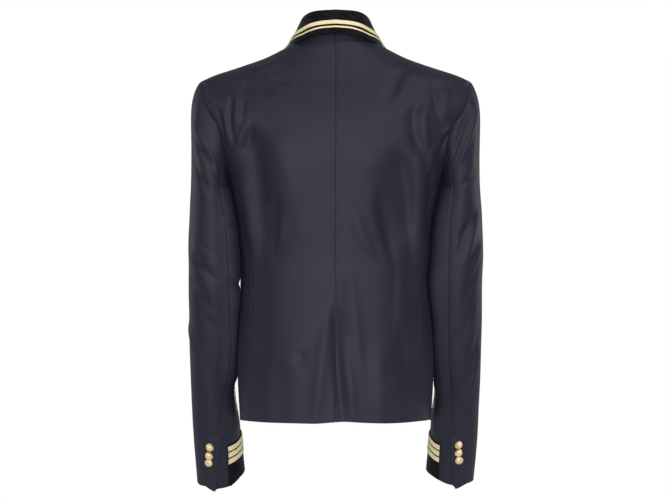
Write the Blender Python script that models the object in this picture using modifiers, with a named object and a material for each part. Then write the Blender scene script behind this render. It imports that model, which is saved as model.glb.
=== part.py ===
"""Double-breasted military jacket, filled out as it is worn, with nobody in it.

The frame: +Z up, the jacket faces -Y, +X is the wearer's left. The origin is the middle of the
neck base, at the height of the shoulder line beside the neck. Tables are in millimetres and
degrees; MM turns them into metres where the points are made.
"""
import math

import bmesh
import bpy
from mathutils import Matrix, Vector

COLLECTION_NAME = "double_breasted_military_jacket"
MM = 0.001

# ---- Driving dimensions, in millimetres -------------------------------------------------------
CLOTH_WALL = 1.6
VELVET_WALL = 1.8
PATCH_WALL = 1.1
BRAID_WALL = 0.9
SEAM_GAP = 0.3
LAYER_GAP = 0.35

HEM_HEIGHT = -577.0
HEM_LIFT_AT_CENTRE = 2.5
TIP_HEIGHT = -53.0              # the shoulder tip, top of the armhole
UNDERARM_HEIGHT = -205.0        # bottom of the armhole
NECK_SIDE_HEIGHT = 4.0
NAPE_HEIGHT = 24.0
GORGE_HEIGHT = -40.0
BREAK_HEIGHT = -235.0           # where the lapel starts to turn back
OVERLAP = 62.0                  # how far each front passes the centre
ROUNDNESS = 2.5                 # exponent of the rings: 2 is an ellipse, more is squarer

ARMHOLE_CENTRE = (TIP_HEIGHT + UNDERARM_HEIGHT) / 2
ARMHOLE_HALF_HEIGHT = (TIP_HEIGHT - UNDERARM_HEIGHT) / 2
ARMHOLE_HALF_DEPTH = {"back": 62.0, "front": 60.0}
# Corners of the armhole, as angles round it: 90 is the shoulder tip, -90 the underarm. The panels
# are cut straight between them, and the sleeve's columns start at them.
ARMHOLE_BACK = (-30, -10, 10, 30, 50, 70, 90)
ARMHOLE_FRONT = (218, 196, 175, 153, 132, 111, 90)
ARMHOLE_UNDER = (-30, -50, -70, -90, -107, -124, -142)
ARMHOLE_CORNERS = {"back": ARMHOLE_BACK, "front": ARMHOLE_FRONT}

# Rings of the body, from the hem up.
# height, depth of the back, depth of the front
RING_DEPTHS = (
    (-577, 112, 118),
    (-500, 112, 116),
    (-420, 105, 108),
    (-340, 93, 101),
    (-280, 97, 110),
    (-220, 104, 121),
    (-160, 107, 117),
    (-110, 100, 102),
    (-70, 86, 82),
    (-53, 79, 74),
    (-35, 73, 67),
    (-15, 66, 62),
    (4, 61, 59),
    (24, 56, 56),
)
# height, half width of the body below the armhole
BODY_WIDTHS = (
    (-577, 148),
    (-508, 151.5),
    (-420, 150),
    (-360, 147.4),
    (-313, 149.3),
    (-265, 153.8),
    (-220, 161.4),
    (-205, 165),
)
# height, half width along the shoulder seam, up to the neck
SHOULDER_WIDTHS = (
    (-53, 209),
    (-43.4, 188),
    (-31, 150),
    (-18.6, 114),
    (-6, 87.5),
    (4, 70),
    (24, 62),
)
# height, distance of the armhole from the centre, at the back and at the front
ARMHOLE_EDGE = (
    (-205, 165, 165),
    (-185, 166.8, 165.5),
    (-161, 169.7, 166.5),
    (-137, 174, 169),
    (-119, 182, 175),
    (-104, 192.5, 184),
    (-85, 202, 196),
    (-57, 206.5, 206),
    (-53, 209, 209),
)
# height, distance of the side seams from the centre, at the back and at the front
SIDE_SEAMS = (
    (-577, 134, 112),
    (-450, 135, 110),
    (-360, 134, 107),
    (-313, 136, 109),
    (-250, 145, 122),
    (-205, 156.5, 152),
    (-175, 166.5, 165.6),
    (-167, 168.9, 166.2),
)
# height, distance of the front's inner edge from the centre, from the gorge to the neck side
FRONT_NECKLINE = (
    (-40, 41),
    (-28, 50),
    (-12, 63),
    (-4, 68),
    (4, 70),
)

# Main folds of the body, as shown: a row is a soft ridge (+) or trough (-) along a line.
# face, side (+1 wearer's left), start x, start height, end x, end height, half width, height
BODY_FOLDS = (
    ("back", 1, 146, -58, 152, -155, 9, -2.6),
    ("back", 1, 128, -120, 112, -200, 15, -3.6),
    ("back", 1, 112, -200, 90, -262, 14, -2.6),
    ("back", 1, 112, -300, 110, -430, 14, -2.4),
    ("back", 1, 104, -24, 84, -40, 9, 1.8),
    ("back", 1, 132, -38, 104, -78, 10, 2.2),
    ("back", 1, 140, -200, 128, -300, 10, 2.0),
    ("back", -1, 117, -36, 86, -75, 10, -2.2),
    ("back", -1, 124, -88, 117, -142, 11, -2.6),
    ("back", -1, 152, -55, 158, -128, 9, -2.8),
    ("back", -1, 70, -172, 82, -240, 19, -4.0),
    ("back", -1, 82, -240, 92, -326, 17, -3.0),
    ("back", -1, 124, -178, 124, -310, 11, 2.8),
    ("back", -1, 62, -314, 82, -411, 11, 2.2),
    ("back", 1, 7, -400, -10, -575, 13, -4.0),
    ("back", -1, 12, -345, 44, -428, 10, -1.8),
    ("back", 1, 17, -438, 31, -572, 11, 2.4),
    ("back", -1, 8, -438, 30, -572, 11, 2.4),
    ("front", 1, 150, -70, 140, -150, 11, -2.4),
    ("front", -1, 150, -70, 140, -150, 11, -2.4),
    ("front", 1, 128, -215, 88, -285, 15, -2.6),
    ("front", -1, 124, -205, 92, -270, 14, -2.8),
    ("front", 1, 104, -420, 96, -560, 16, 2.2),
    ("front", -1, 100, -400, 104, -560, 15, 2.4),
)

# Rings of the sleeve, from below the underarm to the cuff.
# centre height, inner x, outer x, half depth, centre y, forward tilt, inward roll
SLEEVE_RINGS = (
    (-220, 162.0, 224.0, 65.0, 0.0, 0.0, 0.0),
    (-265, 154.3, 226.0, 61.0, 1.0, 1.0, 0.0),
    (-313, 149.9, 227.4, 56.5, 2.0, 3.0, 0.0),
    (-360, 148.1, 227.4, 53.5, -2.0, 9.0, 0.0),
    (-450, 150.8, 227.4, 48.0, -22.0, 17.0, 2.0),
    (-530, 157.0, 225.7, 44.0, -48.0, 22.0, 6.0),
    (-592, 151.0, 224.0, 41.0, -73.0, 24.0, 11.0),
    (-672, 144.4, 219.0, 38.0, -104.0, 24.0, 13.6),
)
LAST_RING = len(SLEEVE_RINGS)
CAP_HEIGHT = -110.0             # nominal height of the sleeve's edge at the armhole
# nominal height, angle of the back seam on the left and on the right sleeve, of the front seam
SLEEVE_SEAMS = (
    (-672, 4.3, 8.5, -150),
    (-592, -16, -11, -146),
    (-530, -30, -20, -142),
    (-450, -36, -22, -142),
    (-360, -33, -22, -142),
    (-220, -31, -25, -142),
    (-110, -30, -30, -142),
)
# Folds of the sleeves: side, start angle and height, end angle and height, half width, height
SLEEVE_FOLDS = (
    (1, 60, -148, -10, -208, 9, -2.4),
    (1, 60, -327, -25, -360, 8, -2.2),
    (1, 75, -360, 0, -396, 8, -2.0),
    (1, -60, -346, -130, -387, 9, -2.4),
    (1, 150, -341, 215, -378, 9, -3.0),
    (1, 140, -387, 210, -360, 9, -2.6),
    (-1, 50, -154, -15, -220, 9, -2.4),
    (-1, 80, -308, 20, -369, 9, 2.2),
    (-1, 85, -378, 15, -474, 9, 2.0),
    (-1, 145, -346, 215, -369, 9, -3.0),
    (-1, 150, -405, 212, -369, 9, -2.6),
)
SLEEVE_RADIUS = 42.0            # turns an angle round the sleeve into a length
CAP_FULLNESS = 0.6              # how far the sleeve runs on in its first direction
UNDERARM_CLEAR = 0.9            # keeps the sleeve off the body below the armhole

# The fall collar. share of the way from nape to gorge, roll line x, y, height
COLLAR_ROLL = (
    (0.0, 0, 54, 55.4),
    (0.2, 34, 45, 53),
    (0.4, 49.5, 23, 43.5),
    (0.5, 53, 3, 35.5),
    (0.6, 56, -19, 25),
    (0.75, 58.5, -48, 5),
    (0.9, 50.5, -68, -20),
    (1.0, 41.5, -74, -39),
)
# share of the way, lower edge of the fall x, y, height
COLLAR_EDGE = (
    (0.0, 0, 78, 18.6),
    (0.2, 40, 66.5, 15),
    (0.4, 63.5, 38, 9.5),
    (0.5, 74.5, 7, 5),
    (0.6, 82, -24, 0),
    (0.75, 98, -53, -20),
    (0.9, 103, -61.5, -41),
    (1.0, 91, -72.5, -64),
)
FOLD_RADIUS = 2.7               # outer radius of a fold at a roll line
COLLAR_BELLY = 1.6
GORGE_FOLD_UP = Vector((-0.1, -1.0, 0.15))   # away from the chest, where the collar lies flat
COLLAR_BRAID_GAP = 0.7
COLLAR_LIES_BELOW = -8.0        # height below which the fall lies on the front
COLLAR_CLEAR = 3.4              # from the front to the outside of the fall that lies on it
# name, start and end as a share of the fall from the roll to the edge
COLLAR_BRAIDS = (
    ("collar_braid_wide", 0.43, 0.62),
    ("collar_braid_narrow", 0.68, 0.765),
)

# The lapel on the front: share of the way from the break to the gorge, width across
LAPEL_WIDTHS = (
    (0.0, 5),
    (0.25, 25),
    (0.5, 44),
    (0.75, 62),
    (1.0, 80),
)
LAPEL_NOTCH = (89.0, -69.0)     # x and height, at the corner of the collar
LAPEL_PEAK = (126.0, -52.0)
LAPEL_LIFT = 1.5
LAPEL_ROLL = 2.2                # the turn at the roll line stands this much higher
LAPEL_DROP = 2.0                # keeps the lapel's top below the collar
LAPEL_START = {1: 0.53, -1: 0.03}
UNDER_LAPEL_CLEAR = 8.0         # from the right front's roll line to the left lapel
NOTCH_SHARE = 4 / 6             # part of the lapel's columns that end between gorge and notch

# The cuffs, along the sleeve from its edge
PATCH_HEIGHT = 70.0
PATCH_START = -21.0             # angle where the velvet starts, beside the vent
PATCH_END = -256.0              # and where it ends, past the front
STRIPES = ((37.5, 46.5), (48.2, 57.2), (58.9, 67.9))
CUFF_LENGTH = 88.0              # from the edge of the sleeve to its last ring but one
VENT_STEP = 0.7                 # the top sleeve stands proud beside the vent
CUFF_BUTTON_PLACES = (45.6, 58.6, 72.4)
CUFF_BUTTON_ANGLE = 19.0        # from the vent
CUFF_BUTTON_RADIUS = 6.3
FRONT_BUTTON_RADIUS = 10.5
FRONT_BUTTON_X = 41.0
FRONT_BUTTON_HEIGHTS = (-262.0, -352.0, -442.0)
BUTTON_CLEAR = 1.2              # from the cloth to the flat back of a button
UNDER_LAYER_DEPTH = 2.6         # how far the upper front stands off the under front

# Columns and rows of the cloth sheets
PANEL_COLUMNS = 11
NECK_SHARE = 5 / PANEL_COLUMNS   # the columns that end on the neckline; the rest reach the shoulder
SEAM_ROWS = 17                   # rows of a panel along its side seam
ROWS_PER_CORNER = 2              # and between two corners of the armhole
YOKE_ROW = SEAM_ROWS + 2 * ROWS_PER_CORNER   # above it the rows turn up to the neckline
PANEL_ROWS = SEAM_ROWS + 6 * ROWS_PER_CORNER
SLEEVE_ROWS = 26
COLLAR_COLUMNS = 28
COLLAR_ROWS = 10
LAPEL_COLUMNS = 6
LAPEL_ROWS = {1: 6, -1: 12}
CUFF_COLUMNS = 16
BUTTON_STEPS = 12

# ---- Interpolation ----------------------------------------------------------------------------


def slope_at(rows, index, column):
    """Slope of a smooth curve through the rows, at one of them."""
    before = max(index - 1, 0)
    after = min(index + 1, len(rows) - 1)
    if before == index or after == index:
        return (rows[after][column] - rows[before][column]) / (rows[after][0] - rows[before][0])
    left = (rows[index][column] - rows[before][column]) / (rows[index][0] - rows[before][0])
    right = (rows[after][column] - rows[index][column]) / (rows[after][0] - rows[index][0])
    left_span = rows[index][0] - rows[before][0]
    right_span = rows[after][0] - rows[index][0]
    return (left * right_span + right * left_span) / (left_span + right_span)


def hermite(start, start_slope, end, end_slope, span, share):
    """Cubic between two values with their slopes; share runs from 0 to 1."""
    square, cube = share * share, share * share * share
    return (start * (2 * cube - 3 * square + 1) + start_slope * (span * (cube - 2 * square + share))
            + end * (3 * square - 2 * cube) + end_slope * (span * (cube - square)))


def table_value(rows, at, column=1):
    """Value of a column at a place between the rows, on a smooth curve."""
    at = min(max(at, rows[0][0]), rows[-1][0])
    index = 0
    while index < len(rows) - 2 and at > rows[index + 1][0]:
        index += 1
    span = rows[index + 1][0] - rows[index][0]
    return hermite(rows[index][column], slope_at(rows, index, column), rows[index + 1][column],
                   slope_at(rows, index + 1, column), span, (at - rows[index][0]) / span)


def table_point(rows, at):
    """The three columns after the first, as a point."""
    return Vector([table_value(rows, at, column) for column in (1, 2, 3)])


def mix(start, end, share):
    return start + (end - start) * share


def ease(value, start, end):
    """0 before start, 1 after end, smooth between."""
    share = min(max((value - start) / (end - start), 0.0), 1.0)
    return share * share * (3 - 2 * share)


def bump(distance, half_width):
    return math.exp(-(distance / half_width) ** 2)


def fold_height(x, y, fold_line, half_width, height):
    """Height of one soft fold at a place, from the line it follows."""
    x0, y0, x1, y1 = fold_line
    dx, dy = x1 - x0, y1 - y0
    length = math.hypot(dx, dy)
    along = ((x - x0) * dx + (y - y0) * dy) / length
    across = ((x - x0) * dy - (y - y0) * dx) / length
    past_end = max(-along, along - length, 0.0)
    return height * bump(across, half_width) * bump(past_end, 1.6 * half_width)


# ---- The body ---------------------------------------------------------------------------------


def armhole_height(angle):
    return ARMHOLE_CENTRE + ARMHOLE_HALF_HEIGHT * math.sin(math.radians(angle))


def armhole_x(face, height):
    return table_value(ARMHOLE_EDGE, height, 1 if face == "back" else 2)


def armhole_depth(face, height):
    """Distance of the armhole's edge from the shoulder line, front to back."""
    lift = (height - ARMHOLE_CENTRE) / ARMHOLE_HALF_HEIGHT
    return ARMHOLE_HALF_DEPTH[face] * math.sqrt(max(0.0, 1 - lift * lift))


def ring_depth(face, height):
    return table_value(RING_DEPTHS, height, 1 if face == "back" else 2)


def ring_half_width(face, height):
    """Half width of a body ring. Beside the armhole the ring runs on past the cut edge."""
    if height >= TIP_HEIGHT:
        return table_value(SHOULDER_WIDTHS, height)
    if height <= UNDERARM_HEIGHT:
        return table_value(BODY_WIDTHS, height)
    share = (armhole_depth(face, height) / ring_depth(face, height)) ** ROUNDNESS
    return armhole_x(face, height) / (1 - share) ** (1 / ROUNDNESS)


def ring_angle(face, x, height):
    """Angle on a ring, from the centre towards the side, where it is x wide."""
    share = min(abs(x) / ring_half_width(face, height), 1.0)
    depth_share = (1 - share ** ROUNDNESS) ** (1 / ROUNDNESS)
    return math.copysign(math.atan2(share, depth_share), x)


def body_fold(face, x, height):
    total = 0.0
    for fold_face, side, x0, z0, x1, z1, half_width, rise in BODY_FOLDS:
        if fold_face == face:
            total += fold_height(side * x, height, (x0, z0, x1, z1), half_width, rise)
    return total


def body_base(face, angle, height):
    """Smooth ring of the body; angle 0 is the centre, a quarter turn the side."""
    sine, cosine = math.sin(angle), max(math.cos(angle), 0.0)
    reach = (abs(sine) ** ROUNDNESS + cosine ** ROUNDNESS) ** (-1 / ROUNDNESS)
    x = ring_half_width(face, height) * sine * reach
    y = ring_depth(face, height) * cosine * reach
    return Vector((x, y if face == "back" else -y, height))


def body_normal(face, angle, height):
    """Outward direction of the body's cloth."""
    step = 0.02
    outer, inner = min(angle + step, math.pi / 2), max(angle - step, -math.pi / 2)
    round_ring = body_base(face, outer, height) - body_base(face, inner, height)
    upper, lower = min(height + 1, NAPE_HEIGHT), max(height - 1, HEM_HEIGHT)
    upward = body_base(face, angle, upper) - body_base(face, angle, lower)
    normal = upward.cross(round_ring) if face == "back" else round_ring.cross(upward)
    if abs(abs(angle) - math.pi / 2) < 0.001:
        normal.y = 0.0
    return normal.normalized()


def body_point(face, angle, height, lift=0.0):
    """Point on the outside of the body, with its folds, moved out by lift."""
    base = body_base(face, angle, height)
    off_side = 1 - ease(abs(math.degrees(angle)), 62, 84)
    away = body_fold(face, base.x, height) * off_side + lift
    return base + body_normal(face, angle, height) * away


def hem_rise(angle, row):
    """The hem is a little higher at the centre than at the sides."""
    share = max(1 - row / 4, 0.0)
    return HEM_LIFT_AT_CENTRE * max(math.cos(angle), 0.0) ** 2 * share


def coons(share_u, share_v, bottom, top, left, right):
    """Blend of four edges: each is a function of its share, giving a pair."""
    def both(part):
        along = mix(bottom(share_u)[part], top(share_u)[part], share_v)
        across = mix(left(share_v)[part], right(share_v)[part], share_u)
        low = mix(bottom(0)[part], bottom(1)[part], share_u)
        high = mix(top(0)[part], top(1)[part], share_u)
        return along + across - mix(low, high, share_v)
    return both(0), both(1)


def outer_edge_x(face, height):
    """Outer edge of a back or front panel: the side seam, then the armhole."""
    if height >= armhole_height(ARMHOLE_CORNERS[face][0]):
        return armhole_x(face, height)
    return table_value(SIDE_SEAMS, height, 1 if face == "back" else 2) - SEAM_GAP / 2


def outer_edge_angle(face, height):
    if height >= TIP_HEIGHT:
        return math.pi / 2
    return ring_angle(face, outer_edge_x(face, height), height)


def roll_line_x(height):
    """The lapel's roll line, a straight crease from the break at the far edge to the gorge."""
    gorge_x = FRONT_NECKLINE[0][1]
    share = (height - BREAK_HEIGHT) / (GORGE_HEIGHT - BREAK_HEIGHT)
    return mix(-OVERLAP, gorge_x, share)


def inner_edge_x(face, height):
    """Inner edge of a panel: the centre at the back; front edge and roll line at the front."""
    if face == "back" or height < BREAK_HEIGHT:
        return 0.0 if face == "back" else -OVERLAP
    if height <= GORGE_HEIGHT:
        return roll_line_x(height)
    return table_value(FRONT_NECKLINE, height)


def neckline(face, share):
    """Angle and height along the neckline: share 0 at the centre or the gorge, 1 at its side."""
    if face == "back":
        angle = share * math.pi / 2
        return angle, mix(NECK_SIDE_HEIGHT, NAPE_HEIGHT, math.cos(angle) ** 2)
    height = mix(NECK_SIDE_HEIGHT, GORGE_HEIGHT, (1 - share) ** 1.8)
    if share == 1:
        return math.pi / 2, height
    return ring_angle("front", inner_edge_x("front", height), height), height


def panel_row_height(face, row):
    """Height of a panel's row at its outer edge, counted from the hem."""
    corners = ARMHOLE_CORNERS[face]
    if row <= SEAM_ROWS:
        return mix(HEM_HEIGHT, armhole_height(corners[0]), row / SEAM_ROWS)
    corner = (row - SEAM_ROWS) / ROWS_PER_CORNER
    index = min(int(corner), len(corners) - 2)
    low, high = armhole_height(corners[index]), armhole_height(corners[index + 1])
    return mix(low, high, corner - index)


def panel_place(face, across, row):
    """Angle and height of a panel's point; across runs from its inner to its outer edge."""
    top_inner = NAPE_HEIGHT if face == "back" else GORGE_HEIGHT
    yoke_height = panel_row_height(face, YOKE_ROW)

    def inner(share):
        height = mix(yoke_height, top_inner, share)
        return ring_angle(face, inner_edge_x(face, height), height), height

    def outer(share):
        height = panel_row_height(face, mix(YOKE_ROW, PANEL_ROWS, share))
        return outer_edge_angle(face, height), height

    def low(share):
        return mix(inner(0)[0], outer(0)[0], share), yoke_height

    def high(share):
        if share < NECK_SHARE + 0.001:
            return neckline(face, min(share / NECK_SHARE, 1.0))
        height = mix(NECK_SIDE_HEIGHT, TIP_HEIGHT, (share - NECK_SHARE) / (1 - NECK_SHARE))
        return math.pi / 2, height

    if row > YOKE_ROW:
        share = (row - YOKE_ROW) / (PANEL_ROWS - YOKE_ROW)
        return coons(across, share, low, high, inner, outer)
    height = panel_row_height(face, row)
    start = ring_angle(face, inner_edge_x(face, height), height)
    angle = mix(start, outer_edge_angle(face, height), across)
    return angle, height + hem_rise(angle, row)


def overlap_lift(x, height):
    """How far the upper front stands off, to pass over the under front."""
    return UNDER_LAYER_DEPTH * (1 - ease(-x, 72, 112)) * ease(-height, 62, 104)


def armhole_cut(face, side, height):
    """Point on the straight cut between two corners of the armhole."""
    corners = ARMHOLE_CORNERS[face]
    index = 0
    while index < len(corners) - 2 and height > armhole_height(corners[index + 1]) + 0.001:
        index += 1
    low, high = armhole_point(side, corners[index]), armhole_point(side, corners[index + 1])
    return mix(low, high, (height - low.z) / (high.z - low.z))


def body_panel_point(face, side, across, up, lift=0.0):
    """Point on a back or front panel; the right one is the left one mirrored, but for folds."""
    row = up * PANEL_ROWS
    angle, height = panel_place(face, across, row)
    if face == "front" and side < 0:
        lift += overlap_lift(-body_base(face, angle, height).x, height)
    if across > 0.999 and row >= SEAM_ROWS:
        point = armhole_cut(face, side, height) + body_normal(face, side * angle, height) * lift
    else:
        point = body_point(face, side * angle, height, lift)
    point.y += SEAM_GAP / 2 if face == "back" else -SEAM_GAP / 2
    if face == "back":
        point.x += side * SEAM_GAP / 2
    return point


def on_front(side, x, height, lift):
    """Point on the front at a place, mirrored for the right, moved out by lift."""
    angle = ring_angle("front", x, height)
    if side < 0:
        lift += overlap_lift(-x, height)
    return body_point("front", side * angle, height, lift)


def side_panel_point(side, across, up, lift=0.0):
    """Side panel, from the back seam round to the front seam, up to the underarm."""
    column = across * (len(ARMHOLE_UNDER) - 1)
    index = min(int(column), len(ARMHOLE_UNDER) - 2)
    corner = mix(ARMHOLE_UNDER[index], ARMHOLE_UNDER[index + 1], column - index)
    row = up * SEAM_ROWS
    face = "back" if across <= 0.5 else "front"
    height = mix(HEM_HEIGHT, armhole_height(corner), up)
    seam_x = table_value(SIDE_SEAMS, height, 1 if face == "back" else 2) + SEAM_GAP / 2
    seam_angle = ring_angle(face, seam_x, height)
    angle = mix(seam_angle, math.pi / 2, 1 - abs(1 - 2 * across))
    height += hem_rise(angle, row)
    if up > 0.999:
        return armhole_point(side, corner) + body_normal(face, side * angle, height) * lift
    return body_point(face, side * angle, height, lift)


# ---- The sleeves ------------------------------------------------------------------------------


def armhole_point(side, angle):
    """Point on the armhole; 90 degrees is the shoulder tip, 0 its back, -90 the underarm."""
    sine, cosine = math.sin(math.radians(angle)), math.cos(math.radians(angle))
    height = ARMHOLE_CENTRE + ARMHOLE_HALF_HEIGHT * sine
    face = "back" if cosine >= 0 else "front"
    return Vector((side * armhole_x(face, height), ARMHOLE_HALF_DEPTH[face] * cosine, height))


def sleeve_start(side, angle):
    """Direction in which the sleeve leaves the armhole."""
    sine, cosine = math.sin(math.radians(angle)), math.cos(math.radians(angle))
    outward = 0.78 * ease(sine, -1.0, 0.1) - 0.16 * ease(sine, 0.0, 1.0)
    sideways = 0.3 * cosine * ease(sine, -0.9, -0.2)
    down = math.sqrt(1 - outward ** 2 - sideways ** 2)
    return Vector((side * outward, sideways, -down))


def sleeve_ring_point(side, angle, ring):
    """Point on one of the sleeve's own rings, which tilt forward and roll inward."""
    height, inner, outer, half_depth, centre_y, tilt, roll = SLEEVE_RINGS[ring - 1]
    sine, cosine = math.sin(math.radians(angle)), math.cos(math.radians(angle))
    half_width = (outer - inner) / 2
    along_y = half_depth * cosine * math.cos(math.radians(tilt))
    drop = half_depth * cosine * math.sin(math.radians(tilt))
    drop += half_width * sine * math.tan(math.radians(roll))
    x = (inner + outer) / 2 + half_width * sine
    return Vector((side * x, centre_y + along_y, height - drop))


def sleeve_base_point(side, angle, ring):
    """Point on the sleeve between its rings, on a smooth line down from the armhole."""
    start = sleeve_start(side, angle)
    clear = Vector((side * UNDERARM_CLEAR * (1 - ease(math.sin(math.radians(angle)), -0.7, 0.3)), 0, 0))
    knots = [armhole_point(side, angle) + start * SEAM_GAP * 2 + clear]
    for index in range(1, LAST_RING + 1):
        knots.append(sleeve_ring_point(side, angle, index))
    lengths = [0.0]
    for before, after in zip(knots, knots[1:]):
        lengths.append(lengths[-1] + (after - before).length)
    index = min(int(ring), LAST_RING - 1)
    rows = [(length, *knot) for length, knot in zip(lengths, knots)]
    span = lengths[index + 1] - lengths[index]
    point = Vector()
    for axis in range(3):
        first = start[axis] * CAP_FULLNESS if index == 0 else slope_at(rows, index, axis + 1)
        last = slope_at(rows, index + 1, axis + 1)
        point[axis] = hermite(knots[index][axis], first, knots[index + 1][axis], last, span,
                              ring - index)
    return point


def sleeve_normal(side, angle, ring):
    """Outward direction of the sleeve's wall."""
    step = 0.02
    low, high = max(ring - step, 0.0), min(ring + step, float(LAST_RING))
    down = sleeve_base_point(side, angle, high) - sleeve_base_point(side, angle, low)
    turn = sleeve_base_point(side, angle + 1, ring) - sleeve_base_point(side, angle - 1, ring)
    return (turn.cross(down) * side).normalized()


def turned_near(angle, other):
    """The same direction as angle, within half a turn of the other."""
    return other + (angle - other + 180) % 360 - 180


def nominal_height(ring):
    """Height of a place along the sleeve, as if every ring were level."""
    heights = [CAP_HEIGHT] + [row[0] for row in SLEEVE_RINGS]
    index = min(int(ring), LAST_RING - 1)
    return mix(heights[index], heights[index + 1], ring - index)


def sleeve_fold(side, angle, ring):
    """Folds of the sleeve, measured on its cloth laid flat."""
    total = 0.0
    height = nominal_height(ring)
    for fold_side, a0, z0, a1, z1, half_width, rise in SLEEVE_FOLDS:
        if fold_side == side:
            round_length = math.radians(turned_near(angle, (a0 + a1) / 2)) * SLEEVE_RADIUS
            line = (math.radians(a0) * SLEEVE_RADIUS, z0, math.radians(a1) * SLEEVE_RADIUS, z1)
            total += fold_height(round_length, height, line, half_width, rise)
    return total


def sleeve_point(side, angle, ring, lift=0.0):
    normal = sleeve_normal(side, angle, ring)
    away = sleeve_fold(side, angle, ring) * ease(ring, 0.0, 0.3)
    return sleeve_base_point(side, angle, ring) + normal * (away + lift)


def seam_angle_at(side, ring):
    return table_value(SLEEVE_SEAMS, nominal_height(ring), 1 if side > 0 else 2)


def front_seam_angle_at(ring):
    return table_value(SLEEVE_SEAMS, nominal_height(ring), 3)


def cuff_ring(distance):
    """Place along the sleeve at a distance above the cuff's edge."""
    return LAST_RING - distance / CUFF_LENGTH


def sleeve_panel_point(side, part, across, down, lift=0.0):
    """Top sleeve from the back seam over the outside, under sleeve round the inside."""
    ring = LAST_RING * down
    half_gap = math.degrees(SEAM_GAP / 2 / SLEEVE_RADIUS)
    back = seam_angle_at(side, ring)
    front = front_seam_angle_at(ring)
    corners = ARMHOLE_UNDER if part == "under" else ARMHOLE_BACK + ARMHOLE_FRONT[-2::-1]
    column = across * (len(corners) - 1)
    index = min(int(column), len(corners) - 2)
    at_armhole = mix(corners[index], corners[index + 1], column - index)
    at_armhole += half_gap * (1 - 2 * across) * (-1 if part == "under" else 1)
    if part == "under":
        at_cuff = mix(back - half_gap, front + half_gap, across)
        return sleeve_point(side, mix(at_armhole, at_cuff, ease(ring, 0.0, 1.0)), ring, lift)
    near_vent = ease(ring, cuff_ring(CUFF_LENGTH) - 0.2, cuff_ring(CUFF_LENGTH) + 0.2)
    lift += VENT_STEP * near_vent * (1 - ease(across, 0.0, 0.25))
    at_cuff = mix(back + half_gap, front + 360 - half_gap, across)
    return sleeve_point(side, mix(at_armhole, at_cuff, ease(ring, 0.0, 1.0)), ring, lift)


# ---- Collar and lapels ------------------------------------------------------------------------


def folded_sheet_point(seam, roll, edge, upward, outward, share, belly):
    """Point across a sheet that rises from its seam, turns on a small radius and falls."""
    centre = roll - upward * FOLD_RADIUS
    stand_end, turn_end = 0.3, 0.5
    if share <= stand_end:
        return mix(seam, centre - outward * FOLD_RADIUS, share / stand_end)
    if share <= turn_end:
        turn = math.pi * (share - stand_end) / (turn_end - stand_end)
        return centre + (upward * math.sin(turn) - outward * math.cos(turn)) * FOLD_RADIUS
    along = (share - turn_end) / (1 - turn_end)
    start = centre + outward * FOLD_RADIUS
    swell = belly * math.sin(math.pi * along)
    return mix(start, edge, along) + (outward + upward).normalized() * swell


def collar_seam(share):
    """The line where the collar's stand meets the neckline."""
    if share <= 0.5:
        angle, height = neckline("back", share * 2)
        point = body_point("back", angle, height)
    else:
        angle, height = neckline("front", 2 - share * 2)
        point = body_point("front", angle, height)
    inward = Vector((-point.x, -point.y, 0)).normalized()
    at_front = ease(share, 0.5, 1.0)
    return point + inward * mix(0.8, 0.4, at_front) + Vector((0, 0, 0.7))


def mirrored(point, side):
    return Vector((point.x * side, point.y, point.z))


def collar_point(around, across):
    """Collar sheet; around runs from the right gorge (0) past the nape to the left gorge (1)."""
    side = 1 if around >= 0.5 else -1
    share = abs(around - 0.5) * 2
    roll = table_point(COLLAR_ROLL, share)
    edge = table_point(COLLAR_EDGE, share)
    seam = collar_seam(share)
    leaning = ((roll - seam).normalized() + (roll - edge).normalized()).normalized()
    upward = mix(leaning, GORGE_FOLD_UP, ease(share, 0.6, 0.95)).normalized()
    ahead = table_point(COLLAR_ROLL, share + 0.01) - table_point(COLLAR_ROLL, share - 0.01)
    outward = upward.cross(ahead).normalized()
    point = folded_sheet_point(seam, roll, edge, upward, outward, across, COLLAR_BELLY)
    if share > 0.68 and across > 0.5 and point.z < COLLAR_LIES_BELOW:
        surface = on_front(1, point.x, point.z, 0.0)
        clearance = COLLAR_CLEAR * ease(across, 0.5, 0.7) * ease(-point.z, -COLLAR_LIES_BELOW, 16)
        point.y = min(point.y, surface.y - clearance)
    return mirrored(point, side)


def moved_out(surface, first, second, distance):
    """A point of a surface, moved along its normal."""
    step = 0.004
    one = surface(first + step, second) - surface(first - step, second)
    two = surface(first, second + step) - surface(first, second - step)
    return surface(first, second) + one.cross(two).normalized() * distance


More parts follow.
